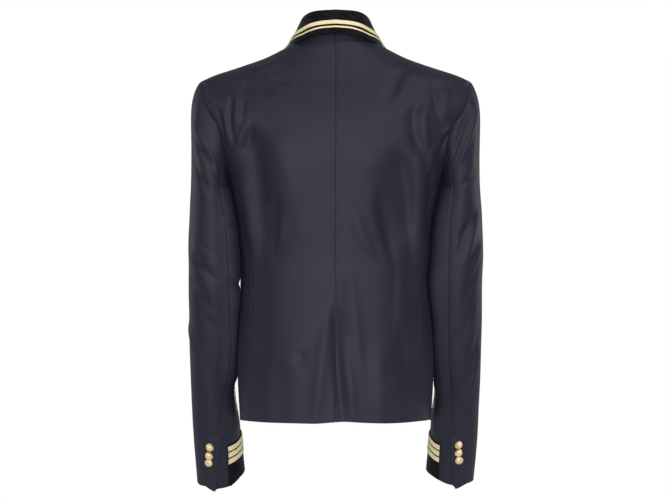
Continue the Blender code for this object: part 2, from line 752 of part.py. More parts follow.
def lapel_point(side, up, across, depth=0.0):
    """Lapel, turned back over the front from its roll line; up runs from the break.

    The left one passes under the right front, and ends at its roll line.
    """
    share = mix(LAPEL_START[side], 1.0, up)
    height = mix(BREAK_HEIGHT, GORGE_HEIGHT, share) - LAPEL_DROP
    roll_x = roll_line_x(height)
    gorge_x = FRONT_NECKLINE[0][1]
    direction = Vector((OVERLAP + gorge_x, 0, GORGE_HEIGHT - BREAK_HEIGHT)).normalized()
    sideways = Vector((direction.z, 0, -direction.x))
    width = table_value(LAPEL_WIDTHS, share)
    hidden = 0.0
    if side > 0:
        nearing = sideways.x + sideways.z * direction.x / direction.z
        hidden = min(max((UNDER_LAPEL_CLEAR - 2 * roll_x) / nearing, 0.0), width - 4.0)
    reach = mix(hidden, width, across)
    x = roll_x + sideways.x * reach
    z = height + sideways.z * reach
    top = ease(share, 0.7, 1.0)
    notch_x, notch_z = LAPEL_NOTCH
    peak_x, peak_z = LAPEL_PEAK
    if across < NOTCH_SHARE:
        top_x = mix(roll_x, notch_x, across / NOTCH_SHARE)
        top_z = mix(height, notch_z, across / NOTCH_SHARE)
    else:
        top_x = mix(notch_x, peak_x, (across - NOTCH_SHARE) / (1 - NOTCH_SHARE))
        top_z = mix(notch_z, peak_z, (across - NOTCH_SHARE) / (1 - NOTCH_SHARE))
    x, z = mix(x, top_x, top), mix(z, top_z, top)
    rounded = LAPEL_ROLL * bump(reach, 7.0)
    return on_front(side, x, z, CLOTH_WALL + LAPEL_LIFT + rounded + depth)


# ---- Making the pieces ------------------------------------------------------------------------


def cloth_sheet(name, material, segments, place, wall):
    """A wall of cloth: place(u, v, lift) gives a point of it from two shares."""
    mesh = bpy.data.meshes.new(name)
    grid = bmesh.new()
    bmesh.ops.create_grid(grid, x_segments=segments[0], y_segments=segments[1], size=0.5)
    doubled = bmesh.ops.extrude_face_region(grid, geom=grid.faces[:], use_keep_orig=True)
    outer = {vert for vert in doubled["geom"] if isinstance(vert, bmesh.types.BMVert)}
    for vert in grid.verts:
        lift = 0.0 if vert in outer else -wall
        vert.co = place(vert.co.x + 0.5, vert.co.y + 0.5, lift) * MM
    bmesh.ops.recalc_face_normals(grid, faces=grid.faces[:])
    grid.to_mesh(mesh)
    grid.free()
    mesh.shade_smooth()
    mesh.set_sharp_from_angle(angle=math.radians(45))
    piece = bpy.data.objects.new(name, mesh)
    bpy.data.collections[COLLECTION_NAME].objects.link(piece)
    mesh.materials.append(material)
    return piece


def domed_button(name, material, radius, place, outward):
    """A domed button, turned from its profile, facing outward."""
    profile = [(0.0, 0.62), (0.38, 0.56), (0.72, 0.38), (0.9, 0.17), (1.0, 0.12), (0.98, 0.0),
               (0.0, 0.0)]
    mesh = bpy.data.meshes.new(name)
    outline = bmesh.new()
    verts = [outline.verts.new((x * radius * MM, 0, z * radius * MM)) for x, z in profile]
    for before, after in zip(verts, verts[1:]):
        outline.edges.new((before, after))
    outline.to_mesh(mesh)
    outline.free()
    piece = bpy.data.objects.new(name, mesh)
    bpy.data.collections[COLLECTION_NAME].objects.link(piece)
    mesh.materials.append(material)
    turn = piece.modifiers.new("Turned", "SCREW")
    turn.steps = BUTTON_STEPS
    turn.render_steps = BUTTON_STEPS
    turn.use_merge_vertices = True
    turn.merge_threshold = 0.00005
    turn.use_smooth_shade = True
    facing = outward.to_track_quat("Z", "Y").to_matrix().to_4x4()
    piece.matrix_world = Matrix.Translation(place * MM) @ facing
    return piece


def finish(name, colour, roughness, metallic=0.0):
    """A plain material with the piece's own colour."""
    material = bpy.data.materials.new(name)
    material.use_nodes = True
    shader = material.node_tree.nodes["Principled BSDF"]
    shader.inputs["Base Color"].default_value = (*colour, 1.0)
    shader.inputs["Roughness"].default_value = roughness
    shader.inputs["Metallic"].default_value = metallic
    return material


def build_body(cloth):
    for side, side_name in ((1, "left"), (-1, "right")):
        for face in ("back", "front"):
            cloth_sheet(f"{face}_{side_name}", cloth, (PANEL_COLUMNS, PANEL_ROWS),
                        lambda u, v, lift, f=face, s=side: body_panel_point(f, s, u, v, lift),
                        CLOTH_WALL)
        cloth_sheet(f"side_{side_name}", cloth, (len(ARMHOLE_UNDER) - 1, SEAM_ROWS),
                    lambda u, v, lift, s=side: side_panel_point(s, u, v, lift), CLOTH_WALL)


def build_sleeves(cloth):
    top_columns = len(ARMHOLE_BACK) + len(ARMHOLE_FRONT) - 2
    for side, side_name in ((1, "left"), (-1, "right")):
        for part, columns in (("top", top_columns), ("under", len(ARMHOLE_UNDER) - 1)):
            cloth_sheet(f"sleeve_{part}_{side_name}", cloth, (columns, SLEEVE_ROWS),
                        lambda u, v, lift, p=part, s=side: sleeve_panel_point(s, p, u, v, lift),
                        CLOTH_WALL)


def build_collar(velvet, braid):
    def collar_place(around, across, lift):
        return moved_out(collar_point, around, across, lift)
    cloth_sheet("collar", velvet, (COLLAR_COLUMNS, COLLAR_ROWS), collar_place, VELVET_WALL)
    for name, start, end in COLLAR_BRAIDS:
        def braid_place(u, v, lift, start=start, end=end):
            across = mix(0.5, 1.0, mix(start, end, v))
            around = mix(0.006, 0.994, u)
            return collar_place(around, across, COLLAR_BRAID_GAP + BRAID_WALL + lift)
        cloth_sheet(name, braid, (COLLAR_COLUMNS, 1), braid_place, BRAID_WALL)


def build_lapels(cloth):
    for side, side_name in ((1, "left"), (-1, "right")):
        cloth_sheet(f"lapel_{side_name}", cloth, (LAPEL_ROWS[side], LAPEL_COLUMNS),
                    lambda u, v, lift, s=side: lapel_point(s, u, v, lift), CLOTH_WALL)


def build_cuffs(velvet, braid, gold):
    over_patch = 2 * LAYER_GAP + PATCH_WALL + BRAID_WALL
    for side, side_name in ((1, "left"), (-1, "right")):
        def on_cuff(u, v, lift, low, high, side=side):
            angle = mix(PATCH_START, PATCH_END, u)
            return sleeve_point(side, angle, cuff_ring(mix(low, high, v)), lift)

        def patch_place(u, v, lift, on_cuff=on_cuff):
            return on_cuff(u, v, lift + LAYER_GAP + PATCH_WALL, 0.6, PATCH_HEIGHT)
        cloth_sheet(f"cuff_velvet_{side_name}", velvet, (CUFF_COLUMNS, 5), patch_place,
                    PATCH_WALL)
        for number, (low, high) in enumerate(STRIPES, start=1):
            def stripe_place(u, v, lift, on_cuff=on_cuff, low=low, high=high):
                return on_cuff(u, v, lift + over_patch, low, high)
            cloth_sheet(f"cuff_braid_{side_name}_{number}", braid, (CUFF_COLUMNS, 1),
                        stripe_place, BRAID_WALL)
        for number, distance in enumerate(CUFF_BUTTON_PLACES, start=1):
            ring = cuff_ring(distance)
            angle = seam_angle_at(side, ring) + CUFF_BUTTON_ANGLE
            domed_button(f"cuff_button_{side_name}_{number}", gold, CUFF_BUTTON_RADIUS,
                         sleeve_point(side, angle, ring, BUTTON_CLEAR),
                         sleeve_normal(side, angle, ring))


def build_front_buttons(gold):
    for number, height in enumerate(FRONT_BUTTON_HEIGHTS, start=1):
        for side_name, x in (("left", FRONT_BUTTON_X), ("right", -FRONT_BUTTON_X)):
            angle = ring_angle("front", x, height)
            domed_button(f"front_button_{side_name}_{number}", gold, FRONT_BUTTON_RADIUS,
                         on_front(-1, -x, height, BUTTON_CLEAR),
                         body_normal("front", angle, height))


def main():
    for item in list(bpy.data.objects):
        bpy.data.objects.remove(item, do_unlink=True)
    collection = bpy.data.collections.new(COLLECTION_NAME)
    bpy.context.scene.collection.children.link(collection)
    navy_cloth = finish("navy_cloth", (0.040, 0.041, 0.062), 0.55)
    black_velvet = finish("black_velvet", (0.008, 0.008, 0.011), 0.9)
    gold_braid = finish("gold_braid", (0.80, 0.60, 0.28), 0.45)
    gold_button = finish("gold_button", (0.78, 0.55, 0.20), 0.3, 1.0)
    build_body(navy_cloth)
    build_sleeves(navy_cloth)
    build_collar(black_velvet, gold_braid)
    build_lapels(navy_cloth)
    build_cuffs(black_velvet, gold_braid, gold_button)
    build_front_buttons(gold_button)


main()
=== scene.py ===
# Dresses the double-breasted military jacket: cloth, velvet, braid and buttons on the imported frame.
# Lengths are in millimetres and angles in degrees, unless a line says otherwise.
import math

import bpy
import numpy as np
from mathutils import Matrix, Vector


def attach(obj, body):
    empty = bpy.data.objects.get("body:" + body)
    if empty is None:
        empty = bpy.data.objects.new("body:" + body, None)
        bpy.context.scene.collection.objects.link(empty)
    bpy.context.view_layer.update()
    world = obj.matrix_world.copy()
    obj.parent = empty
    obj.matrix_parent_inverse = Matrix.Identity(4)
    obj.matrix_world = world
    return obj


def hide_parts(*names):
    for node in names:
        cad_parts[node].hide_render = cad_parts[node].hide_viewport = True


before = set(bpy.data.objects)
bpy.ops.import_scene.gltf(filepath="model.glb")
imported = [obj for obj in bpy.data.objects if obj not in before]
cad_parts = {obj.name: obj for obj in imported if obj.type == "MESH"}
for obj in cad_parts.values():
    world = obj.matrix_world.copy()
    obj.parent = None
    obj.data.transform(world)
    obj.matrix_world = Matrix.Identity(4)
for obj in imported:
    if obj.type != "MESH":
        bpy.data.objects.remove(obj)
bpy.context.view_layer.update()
mm = 0.001
sides = {"left": 1, "right": -1}
faceColumn = {"back": 1, "front": 2}

# Small tools


def curveThrough(rows, at, column=1):
    # smooth curve through a table's rows, read at one place or many
    table = np.asarray(rows, float)
    knots, values = table[:, 0], table[:, column]
    spans = np.diff(knots)
    rises = np.diff(values) / spans
    slopes = np.concatenate([rises[:1], innerSlopes(rises, spans), rises[-1:]])
    at = np.clip(at, knots[0], knots[-1])
    index = np.clip(np.searchsorted(knots, at, side="right") - 1, 0, len(knots) - 2)
    return hermite(values[index], slopes[index], values[index + 1], slopes[index + 1], spans[index],
                   (at - knots[index]) / spans[index])


def innerSlopes(rises, spans):
    return (rises[:-1] * spans[1:] + rises[1:] * spans[:-1]) / (spans[1:] + spans[:-1])


def hermite(start, startSlope, end, endSlope, span, share):
    square, cube = share ** 2, share ** 3
    return (start * (2 * cube - 3 * square + 1) + startSlope * span * (cube - 2 * square + share)
            + end * (3 * square - 2 * cube) + endSlope * span * (cube - square))


def mix(start, end, share):
    return start + (end - start) * share


def ease(value, start, end):
    share = np.clip((value - start) / (end - start), 0, 1)
    return share * share * (3 - 2 * share)


def bump(distance, halfWidth):
    return np.exp(-(distance / halfWidth) ** 2)


def sinOf(angle):
    return np.sin(np.radians(angle))


def cosOf(angle):
    return np.cos(np.radians(angle))


def unit(vectors):
    return vectors / np.maximum(np.linalg.norm(vectors, axis=-1, keepdims=True), 1e-9)


def stack(x, y, z):
    return np.stack(np.broadcast_arrays(x, y, z), axis=-1).astype(float)


creaseStyle = {"pieces": 10, "fadeIn": 0.3, "fadeOut": 0.35, "endWidth": 0.6, "reach": 3}


def creaseHeight(x, z, x0, z0, x1, z1, x2, z2, halfWidth, height, lean=0):
    # one soft ridge (+) or trough (-) along a bowed line, fading out at both ends
    pieceCount, endWidth = creaseStyle["pieces"], creaseStyle["endWidth"]
    steps = np.linspace(0, 1, pieceCount + 1)
    lineX, lineZ = (start * (1 - steps) ** 2 + 2 * bend * steps * (1 - steps) + end * steps ** 2
                    for start, bend, end in ((x0, x1, x2), (z0, z1, z2)))
    reach = halfWidth * creaseStyle["reach"]
    total = np.zeros(np.broadcast(x, z).shape)
    inside = ((x > lineX.min() - reach) & (x < lineX.max() + reach)
              & (z > lineZ.min() - reach) & (z < lineZ.max() + reach))
    x, z = np.broadcast_to(x, total.shape)[inside], np.broadcast_to(z, total.shape)[inside]
    nearest, place, hand = np.full(x.shape, 1e9), np.zeros(x.shape), np.zeros(x.shape)
    for i in range(pieceCount):
        dx, dz = lineX[i + 1] - lineX[i], lineZ[i + 1] - lineZ[i]
        along = np.clip(((x - lineX[i]) * dx + (z - lineZ[i]) * dz) / (dx * dx + dz * dz), 0, 1)
        offX, offZ = x - lineX[i] - dx * along, z - lineZ[i] - dz * along
        distance = np.hypot(offX, offZ)
        closer = distance < nearest
        nearest = np.where(closer, distance, nearest)
        place = np.where(closer, (i + along) / pieceCount, place)
        hand = np.where(closer, np.sign(offX * dz - offZ * dx), hand)
    fade = ease(place, 0, creaseStyle["fadeIn"]) * ease(1 - place, 0, creaseStyle["fadeOut"])
    width = halfWidth * (1 + lean * hand) * (endWidth + (1 - endWidth) * fade)
    total[inside] = height * fade * bump(nearest, width)
    return total


waveCount, waveSpread = 7, 3


def unevenness(x, z, seed, size, height):
    # slow, slight waviness, as in any worn cloth
    draw = np.random.default_rng(seed)
    total = 0
    for _ in range(waveCount):
        turn, phase = draw.uniform(0, 2 * math.pi, 2)
        length = size * draw.uniform(0.7, 1.6)
        along = x * math.cos(turn) + z * math.sin(turn)
        total = total + np.sin(along * 2 * math.pi / length + phase)
    return total * height / waveSpread


# The body's form

body = {
    "hemHeight": -577, "hemLift": 2.5, "hemRows": 4, "tipHeight": -53, "underarmHeight": -205,
    "neckSideHeight": 4, "napeHeight": 24, "gorgeHeight": -40, "breakHeight": -235,
    "overlap": 62, "roundness": 2.5, "armholeHalfDepth": {"back": 62, "front": 60},
    "seamGap": 0.3, "wall": 1.6, "underLayer": 2.6, "neckCurve": 1.8, "normalStep": 0.02,
    # seed, size and height of the slow waviness
    "waviness": {"back": (5, 95, 0.32), "front": (8, 95, 0.32)},
    # creases are this deep, and fade out between these angles from the middle of the back or front
    "creaseDepth": 1.5, "creaseEnd": (64, 84), "hemWaveReach": 70,
    # the right front comes to lie on the left one over these x and heights
    "overlapX": (72, 112), "overlapHeight": (62, 104),
    # height, depth of the back, depth of the front
    "ringDepths": ((-577, 112, 118), (-500, 112, 116), (-420, 105, 108), (-340, 93, 101),
                   (-280, 97, 110), (-220, 104, 121), (-160, 107, 117), (-110, 100, 102),
                   (-70, 86, 82), (-53, 79, 74), (-35, 73, 67), (-15, 66, 62), (4, 61, 59),
                   (24, 56, 56)),
    # height, half width below the armhole
    "widths": ((-577, 148), (-508, 151.5), (-420, 150), (-360, 147.4), (-313, 149.3),
               (-265, 153.8), (-220, 161.4), (-205, 165)),
    # height, half width along the shoulder
    "shoulder": ((-53, 209), (-43.4, 188), (-31, 150), (-18.6, 114), (-6, 87.5), (4, 70), (24, 62)),
    # height, armhole from the centre at the back and at the front
    "armhole": ((-205, 165, 165), (-185, 166.8, 165.5), (-161, 169.7, 166.5), (-137, 174, 169),
                (-119, 182, 175), (-104, 192.5, 184), (-85, 202, 196), (-57, 206.5, 206),
                (-53, 209, 209)),
    # height, side seams from the centre at the back and at the front
    "sideSeams": ((-577, 134, 112), (-450, 135, 110), (-360, 134, 107), (-313, 136, 109),
                  (-250, 145, 122), (-205, 156.5, 152), (-175, 166.5, 165.6), (-167, 168.9, 166.2)),
    # height, front's inner edge above the gorge
    "frontNeck": ((-40, 41), (-28, 50), (-12, 63), (-4, 68), (4, 70)),
}
# The hem's slight wave across the back: x, height
hemWave = ((-150, 2.4), (-110, 0.2), (-78, -0.8), (-40, 0.2), (-14, 1.5), (6, 0.4), (25, -1.1),
           (60, -0.6), (110, 0.4), (142, 1.6))
# Creases of the back and the fronts, by face and side. Each is a bowed line's start, bend and end (x
# from the centre, height), then half width, height and, for some, lean
bodyCreases = {
    ("back", 1): (
        (152, -40, 146, -84, 155, -134, 4, 2.6, 0.2), (170, -98, 168, -118, 155, -172, 3.2, 2.4),
        (158, -66, 166, -112, 154, -156, 3.2, -2.6, 0.2),
        (143, -48, 139, -88, 146, -124, 4.4, -2.6, 0.2), (180, -92, 177, -112, 168, -140, 3, -1.8),
        (132, -112, 142, -136, 156, -166, 3.6, 2.4),
        (124, -120, 134, -146, 148, -172, 4.2, -2.6, 0.2), (196, -60, 192, -78, 184, -92, 3.4, 1.6),
        (138, -104, 114, -214, 118, -344, 20, -8.6, 0.15),
        (88, -222, 92, -280, 98, -334, 12, -3.2, -0.4), (110, -260, 126, -366, 124, -640, 26, -6),
        (122, -40, 100, -32, 78, -24, 5, 2.8), (126, -36, 114, -56, 94, -82, 6, -3, 0.2),
        (94, -46, 84, -56, 66, -60, 6, -1.6), (142, -184, 138, -240, 130, -318, 9, 1.6),
        (96, -120, 74, -190, 62, -266, 18, 2), (152, -214, 143, -280, 136, -352, 5, -2, 0.3),
        (60, -250, 84, -300, 96, -352, 12, -1.3), (66, -462, 50, -478, 40, -496, 7, -1.2, 0.2),
        (44, -462, 52, -480, 62, -492, 6, -1), (84, -470, 88, -520, 84, -590, 13, -2),
        (2, -372, -1, -470, -13, -606, 9, -4.4, 0.2), (14, -416, 22, -490, 33, -596, 10, 2.6),
    ),
    ("back", -1): (
        (104, -30, 92, -56, 78, -98, 8, -2.6, 0.2), (128, -32, 108, -56, 90, -92, 5.5, 2.4),
        (132, -82, 100, -116, 144, -188, 7.5, -3.4, 0.2), (138, -80, 128, -126, 146, -172, 6, 2.8),
        (153, -40, 145, -82, 165, -132, 3.8, -3, 0.2), (172, -58, 162, -88, 172, -116, 7, 1.6),
        (162, -138, 170, -128, 184, -122, 3.2, 2.2),
        (160, -172, 163, -146, 180, -132, 3.4, -2.6, 0.2),
        (150, -150, 148, -174, 136, -206, 4.6, 1.8),
        (92, -146, 118, -226, 119, -352, 23, -8.8, 0.45),
        (68, -200, 78, -270, 94, -330, 15, -3.2, -0.35), (126, -150, 128, -236, 124, -326, 8, 2.6),
        (142, -172, 146, -256, 141, -334, 6, -2.6, -0.3),
        (20, -330, 28, -400, 40, -520, 11, 2.4, 0.2), (112, -290, 130, -390, 126, -650, 27, -6.6),
        (96, -410, 110, -470, 112, -560, 12, -2.2, 0.2), (70, -440, 64, -500, 74, -590, 12, 1.9),
        (26, -246, 40, -290, 62, -330, 9, 2, 0.2), (60, -224, 74, -290, 96, -350, 12, -3.4, -0.45),
        (92, -318, 92, -380, 84, -470, 12, -2.4, 0.2), (6, -416, 14, -490, 31, -596, 10, 2.6),
    ),
    ("front", 1): (
        (152, -54, 140, -100, 142, -172, 10, -2.8, 0.2),
        (134, -200, 112, -232, 84, -300, 14, -3, 0.2), (106, -250, 96, -300, 100, -360, 10, 1.6),
        (92, -352, 70, -366, 44, -352, 8, -1.4, 0.2), (106, -400, 94, -480, 96, -590, 15, 2.4),
        (70, -446, 76, -500, 66, -580, 11, -1.4),
    ),
    ("front", -1): (
        (152, -54, 142, -106, 138, -164, 10, -2.8, -0.2),
        (130, -190, 112, -226, 88, -286, 13, -3.2, 0.2),
        (96, -262, 74, -312, 46, -352, 9, -1.5, 0.2), (104, -330, 76, -380, 46, -436, 9, 1.3),
        (100, -384, 96, -470, 106, -590, 14, 2.6), (60, -452, 66, -520, 60, -590, 12, -1.5),
    ),
}


def armholeHeight(angle):
    low, high = body["underarmHeight"], body["tipHeight"]
    return (low + high) / 2 + (high - low) / 2 * sinOf(angle)


def armholeX(face, height):
    return curveThrough(body["armhole"], height, faceColumn[face])


def sideSeamX(face, height):
    return curveThrough(body["sideSeams"], height, faceColumn[face])


def ringDepth(face, height):
    return curveThrough(body["ringDepths"], height, faceColumn[face])


def rounded(share):
    # the body's oval: how far it reaches one way, at a share of its reach the other way
    return (1 - share ** body["roundness"]) ** (1 / body["roundness"])


def ringHalfWidth(face, height):
    low, high = body["underarmHeight"], body["tipHeight"]
    lift = (height - (low + high) / 2) / ((high - low) / 2)
    depth = body["armholeHalfDepth"][face] * np.sqrt(np.clip(1 - lift * lift, 0, None))
    atArmhole = armholeX(face, height) / rounded(depth / ringDepth(face, height))
    return np.where(height >= high, curveThrough(body["shoulder"], height),
                    np.where(height <= low, curveThrough(body["widths"], height), atArmhole))


def ringAngle(face, x, height):
    share = np.minimum(np.abs(x) / ringHalfWidth(face, height), 1)
    return np.copysign(np.arctan2(share, rounded(share)), x)


def bodyBase(face, angle, height):
    sine, cosine = np.sin(angle), np.maximum(np.cos(angle), 0)
    power = body["roundness"]
    reach = (np.abs(sine) ** power + cosine ** power) ** (-1 / power)
    y = ringDepth(face, height) * cosine * reach
    return stack(ringHalfWidth(face, height) * sine * reach, y if face == "back" else -y, height)


def bodyNormal(face, angle, height):
    outer = np.minimum(angle + body["normalStep"], math.pi / 2)
    inner = np.maximum(angle - body["normalStep"], -math.pi / 2)
    around = bodyBase(face, outer, height) - bodyBase(face, inner, height)
    upper = np.minimum(height + 1, body["napeHeight"])
    lower = np.maximum(height - 1, body["hemHeight"])
    upward = bodyBase(face, angle, upper) - bodyBase(face, angle, lower)
    normal = np.cross(upward, around) if face == "back" else np.cross(around, upward)
    normal[..., 1] *= np.abs(np.abs(angle) - math.pi / 2) > 0.001
    return unit(normal)


def bodyCrease(face, x, height):
    total = unevenness(x, height, *body["waviness"][face])
    for side in sides.values():
        for crease in bodyCreases[face, side]:
            total = total + creaseHeight(side * x, height, *crease)
    return total


def bodyPoint(face, angle, height, lift=0.0, held=1.0):
    # a point on the outside of the body, with its creases, moved out by lift
    base = bodyBase(face, angle, height)
    offSide = 1 - ease(np.abs(np.degrees(angle)), *body["creaseEnd"])
    away = bodyCrease(face, base[..., 0], height) * offSide * held * body["creaseDepth"] + lift
    if face == "back":
        nearHem = 1 - ease(height - body["hemHeight"], 0, body["hemWaveReach"])
        base[..., 2] += curveThrough(hemWave, base[..., 0]) * nearHem
    return base + bodyNormal(face, angle, height) * away[..., None]


def rollLineX(height):
    share = (height - body["breakHeight"]) / (body["gorgeHeight"] - body["breakHeight"])
    return mix(-body["overlap"], body["frontNeck"][0][1], share)


def innerEdgeX(face, height):
    if face == "back":
        return np.zeros(np.shape(height))
    edge = np.where(height <= body["gorgeHeight"], rollLineX(height),
                    curveThrough(body["frontNeck"], height))
    return np.where(height < body["breakHeight"], -body["overlap"], edge)


def neckline(face, share):
    if face == "back":
        angle = share * math.pi / 2
        return angle, mix(body["neckSideHeight"], body["napeHeight"], np.cos(angle) ** 2)
    height = mix(body["neckSideHeight"], body["gorgeHeight"], (1 - share) ** body["neckCurve"])
    return ringAngle("front", innerEdgeX("front", height), height), height


# Rows of a panel, counted as in the solid: up its side seam, then round its armhole
seamRows, armholeRows, yokeRow, neckShare = 17, 12, 21, 5 / 11
rowCount = seamRows + armholeRows
armholeStart = {"back": -30, "front": 218}


def outerEdge(face, row):
    # angle and height of a panel's outer edge
    corner = mix(armholeStart[face], 90, np.clip((row - seamRows) / armholeRows, 0, 1))
    low = mix(body["hemHeight"], armholeHeight(armholeStart[face]), np.clip(row / seamRows, 0, 1))
    height = np.where(row <= seamRows, low, armholeHeight(corner))
    seamX = sideSeamX(face, height) - body["seamGap"] / 2
    return ringAngle(face, np.where(row <= seamRows, seamX, armholeX(face, height)), height), height


def innerEdge(face, height):
    return ringAngle(face, innerEdgeX(face, height), height), height


def topEdge(face, share):
    neckAngle, neckHeight = neckline(face, np.clip(share / neckShare, 0, 1))
    shoulder = mix(body["neckSideHeight"], body["tipHeight"], (share - neckShare) / (1 - neckShare))
    onNeck = share < neckShare
    return np.where(onNeck, neckAngle, math.pi / 2), np.where(onNeck, neckHeight, shoulder)


def hemRise(angle, row):
    # the hem's middle is a little higher than its sides
    fade = np.maximum(1 - row / body["hemRows"], 0)
    return body["hemLift"] * np.maximum(np.cos(angle), 0) ** 2 * fade


def panelPlace(face, across, row):
    # angle and height of a panel's point; the rows above the yoke turn up to the neckline
    outerAngle, height = outerEdge(face, np.minimum(row, yokeRow))
    angle = mix(innerEdge(face, height)[0], outerAngle, across)
    share = np.clip((row - yokeRow) / (rowCount - yokeRow), 0, 1)
    top = body["napeHeight"] if face == "back" else body["gorgeHeight"]
    left = innerEdge(face, mix(outerEdge(face, yokeRow)[1], top, share))
    right = outerEdge(face, mix(yokeRow, rowCount, share))
    line, start, end = (topEdge(face, at) for at in (across, 0.0, 1.0))
    upper = (mix(left[n], right[n], across) + share * (line[n] - mix(start[n], end[n], across))
             for n in (0, 1))
    lower = angle, height + hemRise(angle, row)
    return [np.where(row > yokeRow, *both) for both in zip(upper, lower)]


def overlapLift(x, height):
    # the right front stands off, to pass over the left one
    nearEdge = 1 - ease(x, *body["overlapX"])
    return body["underLayer"] * nearEdge * ease(-height, *body["overlapHeight"])


def onFront(side, x, height, lift):
    # a point on a front; the right one is mirrored but for its creases
    angle = ringAngle("front", x, height)
    if side < 0:
        lift = lift + overlapLift(x, height)
    return bodyPoint("front", side * angle, height, lift)


def armholePoint(side, angle):
    height, cosine = armholeHeight(angle), cosOf(angle)
    x = np.where(cosine >= 0, armholeX("back", height), armholeX("front", height))
    depths = body["armholeHalfDepth"]
    return stack(side * x, np.where(cosine >= 0, depths["back"], depths["front"]) * cosine, height)


# Sheets of cloth

sheetStyle = {"step": 3.0, "seamDepth": 0.4, "seamWidth": 1.3, "edgeRadius": 1.1,
              "closeSteps": (0.0, 0.25, 0.6, 1.0, 1.5, 2.2, 3.2, 4.6), "plainSteps": (0.0, 2.3, 4.6),
              "allowance": (1.8, 4.0, 8.0), "allowanceWall": 0.8, "allowanceGap": 0.25,
              "allowancePoints": 70, "foldedFrom": 0.2}


def shares(length, step=None, ends=(True, True)):
    # places along a sheet, closer together near the edges so that they can be rounded
    first, last = (sheetStyle["closeSteps" if shaped else "plainSteps"] for shaped in ends)
    margin = first[-1]
    count = max(int((length - 2 * margin) / (step or sheetStyle["step"])), 1)
    middle = np.linspace(margin, length - margin, count + 1)[1:-1]
    return np.concatenate([first, middle, [length - d for d in reversed(last)]]) / length


def gridNormals(points):
    return unit(np.cross(np.gradient(points, axis=1), np.gradient(points, axis=0)))


def edgeDistances(points):
    # distance over the cloth from its left, right, bottom and top edges
    across = np.linalg.norm(np.diff(points, axis=1), axis=2)
    up = np.linalg.norm(np.diff(points, axis=0), axis=2)
    fromLeft = np.concatenate([np.zeros((len(points), 1)), np.cumsum(across, axis=1)], axis=1)
    fromBottom = np.concatenate([np.zeros((1, points.shape[1])), np.cumsum(up, axis=0)], axis=0)
    return fromLeft, fromLeft[:, -1:] - fromLeft, fromBottom, fromBottom[-1:] - fromBottom


def seamDip(distance):
    return sheetStyle["seamDepth"] * bump(distance, sheetStyle["seamWidth"])


def turnedDip(distance):
    radius = sheetStyle["edgeRadius"]
    return radius - np.sqrt(radius ** 2 - np.clip(radius - distance, 0, None) ** 2)


def edgeLift(points, edges):
    # each edge is a seam, which dips a little, a turned edge, which is round, or plain
    dips = {"seam": seamDip, "turned": turnedDip}
    return -sum(dips[kind](distance) for distance, kind in zip(edgeDistances(points), edges)
                if kind in dips)


allTurned = ("turned",) * 4


def formed(place, across, up, edges, lift=0.0, share=1.0):
    # the sheet that place gives at a lift, with its edges shaped, and its outward directions
    lift = np.full_like(across, lift)
    return place(across, up, lift + share * edgeLift(place(across, up, lift)[0], edges))


def dress(piece, slotName, *nodes):
    piece.data.materials.append(materials[slotName])
    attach(piece, "root")
    if nodes:
        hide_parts(*nodes)
    return piece


def sheetPiece(name, points, outward, wall, slotName, *nodes):
    # makes the grid of points a mesh whose faces look outward, with a map of its flat cloth
    rows, columns = points.shape[:2]
    index = np.arange(rows * columns).reshape(rows, columns)
    corners = [index[:-1, :-1], index[:-1, 1:], index[1:, 1:], index[1:, :-1]]
    flipped = np.sum(gridNormals(points) * outward) < 0
    faces = np.stack(corners[::-1] if flipped else corners, axis=-1).reshape(-1, 4)
    mesh = bpy.data.meshes.new(name)
    mesh.from_pydata((points.reshape(-1, 3) * mm).tolist(), [], faces.tolist())
    fromLeft, _, fromBottom, _ = edgeDistances(points)
    flat = np.stack([fromLeft, fromBottom], axis=-1).reshape(-1, 2) * mm
    layer = mesh.uv_layers.new(name="cloth")
    layer.data.foreach_set("uv", flat[faces.reshape(-1)].reshape(-1))
    mesh.shade_smooth()
    piece = bpy.data.objects.new(name, mesh)
    bpy.context.scene.collection.objects.link(piece)
    thick = piece.modifiers.new("Wall", "SOLIDIFY")
    thick.thickness, thick.offset = wall * mm, -1
    return dress(piece, slotName, *nodes)


grids, pieces, goesWith = {}, {}, {}


def cutPiece(node, name, points, outward, slotName="navy_cloth", wall=body["wall"]):
    # a piece cut from cloth. Its grid and normals are kept for the seams beside it
    normals = gridNormals(points)
    grids[node] = points, normals * np.sign(np.sum(normals * outward))
    pieces[node], goesWith[node] = sheetPiece(name, points, outward, wall, slotName, node), []


def runAlong(line):
    # how far each point of a line is from its start
    return np.concatenate([[0], np.cumsum(np.linalg.norm(np.diff(line, axis=0), axis=1))])


def edgeBand(node, edge, first=0.0, last=1.0):
    # lines of a sheet along one edge and at the distances of a seam allowance, with their normals
    points, normals = grids[node]
    if edge in ("left", "right"):
        points, normals = points.transpose(1, 0, 2), normals.transpose(1, 0, 2)
    if edge in ("right", "top"):
        points, normals = points[::-1], normals[::-1]
    run = runAlong(points[0])
    places = np.linspace(first, last, sheetStyle["allowancePoints"]) * run[-1]

    def along(values):
        return np.stack([np.interp(places, run, values[:, n]) for n in range(3)], axis=-1)
    rows, steps = [], np.linalg.norm(np.diff(points, axis=0), axis=2).mean(axis=1)
    away = np.concatenate([[0], np.cumsum(steps)])
    for distance in (0.0, *sheetStyle["allowance"]):
        place = np.interp(distance, away, np.arange(len(away)))
        low = min(int(place), len(away) - 2)
        line, outward = (along(mix(values[low], values[low + 1], place - low))
                         for values in (points, normals))
        rows.append((line, unit(outward)))
    return rows


def joinBands(one, other):
    return [tuple(np.concatenate(pair) for pair in zip(a, b)) for a, b in zip(one, other)]


